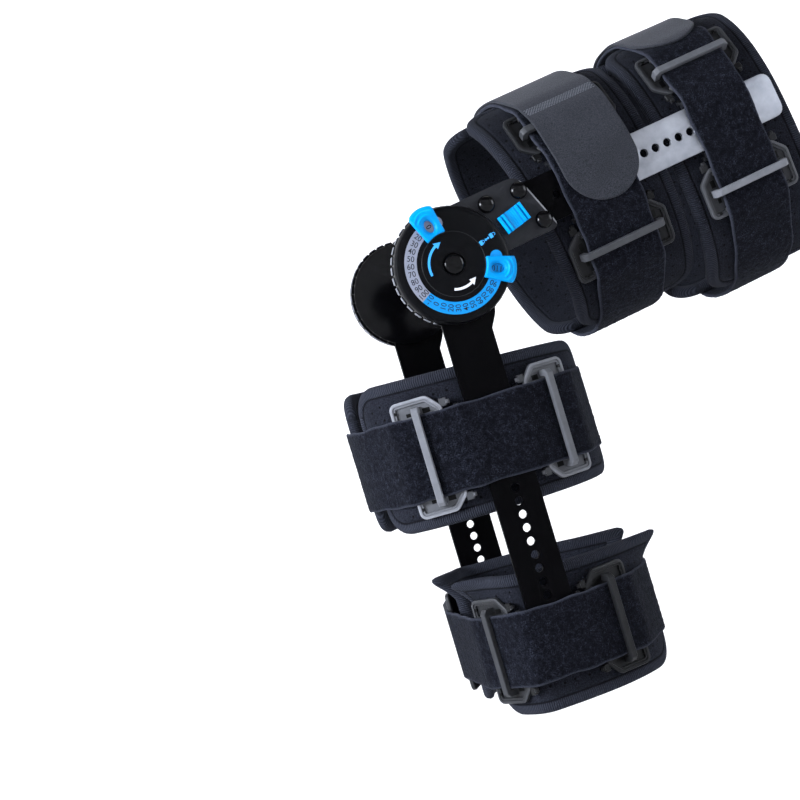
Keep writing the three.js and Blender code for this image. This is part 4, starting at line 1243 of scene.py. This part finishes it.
def make_numbers():
    """Degrees round both scales, with their tops towards the centre."""
    mid = (SCALE.inner + SCALE.outer) / 2
    numbers = []
    for row in SCALES:
        for value in range(DIGIT.first, row.last + 1, DIGIT.step):
            verts, faces = text_solid(str(value), SCALE.high - DIGIT.sunk, SCALE.high + DIGIT.raised)
            flipped = np.column_stack([mid - DIGIT.condensed * verts[:, 0], -verts[:, 1], verts[:, 2]])
            numbers.append((turned(flipped, row.zero + value), faces))
    dial_piece("dial_numbers", numbers, "ink_black", "cover_plastic")


def printed(outline):
    """A flat sign on the dial's face."""
    return prism(outline, DIAL.face - DIAL.sunk, DIAL.face + DIAL.raised)


def arc_arrow(start, end):
    """A curved arrow round the dial's centre, from one angle to another."""
    radius, width = ARROW.radius, ARROW.width
    way = math.copysign(1, end - start)
    neck = end - math.degrees(ARROW.head / radius) * way
    a = np.radians(np.linspace(start, neck, ARROW.steps))
    upper, lower = (polar(radius + off, a) for off in (width / 2, -width / 2))
    wing_off = width * ARROW.wing
    wing, other = (polar(radius + off, a[-1:]) for off in (wing_off, -wing_off))
    outline = np.vstack([upper, wing, polar(radius, np.radians([end])), other, lower[::-1]])
    return printed(outline if way > 0 else outline[::-1])


def double_arrow():
    tip, neck, barb, shaft = DOUBLE_ARROW.tip, DOUBLE_ARROW.neck, DOUBLE_ARROW.barb, DOUBLE_ARROW.shaft
    half = [(0, tip), (-barb, neck), (-shaft, neck), (-shaft, -neck), (-barb, -neck)]
    return printed(half + [(-x, -y) for x, y in half])


def padlock(open_shackle):
    """A padlock whose shackle is raised off one side where it is open."""
    lock = PADLOCK
    bow, inner = lock.bow, lock.bow_inner
    box = rectangle(-lock.half, lock.low, lock.half, lock.high)
    body = printed(rounded_outline([(x, y, lock.corner) for x, y in box], 3))
    a = np.linspace(0, math.pi, 14)
    arch = np.vstack([polar(bow, a), polar(inner, a)[::-1]]) + (0, lock.bow_at)
    legs = [-bow] if open_shackle else [-bow, inner]
    thick = bow - inner
    shackle = [printed(arch)]
    shackle += [printed(rectangle(x, lock.leg_low, x + thick, lock.leg_high)) for x in legs]
    if open_shackle:
        shackle = [(verts + (0, lock.lift, 0), faces) for verts, faces in shackle]
        shackle.append(printed(rectangle(-bow, lock.leg_low, -inner, lock.stub_high)))
    return joined([body, *shackle])


def sign_at(place, solid):
    """Moves a small sign beside the slider, upright with its top towards the rim."""
    verts, faces = solid
    x, y = place.size * verts[:, 1] + place.radius, -place.size * verts[:, 0]
    return turned(np.column_stack([x, y, verts[:, 2]]), SIGN_ANGLE), faces


def make_signs():
    blue = [arc_arrow(*ARROW.blue), sign_at(DOUBLE_ARROW, double_arrow()),
            sign_at(OPEN_LOCK, padlock(True)), sign_at(CLOSED_LOCK, padlock(False))]
    dial_piece("dial_signs_blue", blue, "ink_blue", "blue_plastic")
    dial_piece("dial_signs_white", [arc_arrow(*ARROW.white)], "ink_white", "cover_plastic")


def make_ring_line():
    """A fine raised line round the middle of the dial."""
    radius, half = RING_LINE.radius, RING_LINE.half
    level, foot = DIAL.face + RING_LINE.level, DIAL.face - DIAL.sunk
    bead = np.linspace(0, math.pi, RING_LINE.steps)
    profile = [(radius + half * math.cos(b), level + RING_LINE.rise * math.sin(b)) for b in bead]
    profile += [(radius - half, foot), (radius + half, foot)]
    ring = lathe(profile, RING_LINE.sides, closed=True)
    dial_piece("dial_ring_line", [ring], "carrier_black", "cover_plastic")


def dome(row):
    """A smooth cap just over a round head."""
    radius, base, foot = row.radius + DOME.over, row.base, row.base - DOME.sunk
    top = row.top + DOME.over
    rise = np.linspace(0, math.pi / 2, DOME.steps)[:-1]
    profile = [(0, foot), (radius, foot)]
    profile += [(radius * math.cos(b), base + (top - base) * math.sin(b)) for b in rise] + [(0, top)]
    return lathe(profile, DOME.sides)


def make_domes():
    dial_piece("lateral_pivot_dome", [dome(PIVOT)], "glossy_black", "cover_plastic")
    verts, faces = dome(RIVET)
    rivets = [(verts + (along, forward, 0), faces) for along, forward in RIVETS]
    dial_piece("lateral_rivet_domes", rivets, "glossy_black", "hinge_metal")


for node, (body, angle) in STOPS.items():
    make_stop(node, body, angle)
make_slider()
for row in SCALES:
    make_scale(row)
make_numbers()
make_signs()
make_ring_line()
make_domes()


# Stage, light and camera

def make_stage():
    """A pale floor that sweeps up into a wall all round."""
    level, radius, sweep = FLOOR.level, FLOOR.radius, FLOOR.sweep
    rise = np.linspace(0, math.pi / 2, FLOOR.steps + 1)
    profile = [(0.0, level)]
    profile += [(radius + sweep * math.sin(a), level + sweep * (1 - math.cos(a))) for a in rise]
    verts, faces = lathe(profile + [(radius + sweep, FLOOR.wall_top)], FLOOR.sides)
    mesh = bpy.data.meshes.new("studio_floor")
    mesh.from_pydata(verts.tolist(), [], faces)
    mesh.polygons.foreach_set("use_smooth", [True] * len(mesh.polygons))
    s = Shader("studio_white", base_color=FLOOR.color, roughness=0.9, emission_color=WHITE,
               emission_strength=FLOOR.glow)
    mesh.materials.append(s.material)
    floor = add_object("studio_floor", mesh)


def make_light(name, place, target, size, power, tint):
    data = bpy.data.lights.new(name, "AREA")
    data.shape = "RECTANGLE"
    data.size, data.size_y = size
    data.energy = power
    data.color = tint
    light = add_object(name, data)
    light.location = place
    light.visible_camera = False
    light.rotation_euler = (Vector(target) - Vector(place)).to_track_quat("-Z", "Y").to_euler()


def make_camera():
    data = bpy.data.cameras.new("camera")
    data.lens = CAMERA.lens
    data.sensor_width = CAMERA.sensor
    camera = add_object("camera", data)
    camera.location = CAMERA.at
    camera.rotation_euler = [math.radians(a) for a in CAMERA.turn]
    bpy.context.scene.camera = camera


def make_world():
    world = bpy.data.worlds.new("studio")
    world.use_nodes = True
    sky = world.node_tree.nodes["Background"]
    sky.inputs["Color"].default_value = (*WHITE, 1)
    sky.inputs["Strength"].default_value = SKY_STRENGTH
    bpy.context.scene.world = world
    bpy.context.scene.view_settings.view_transform = "Standard"


make_stage()
make_world()
for row in LIGHTS:
    make_light(*row)
make_camera()
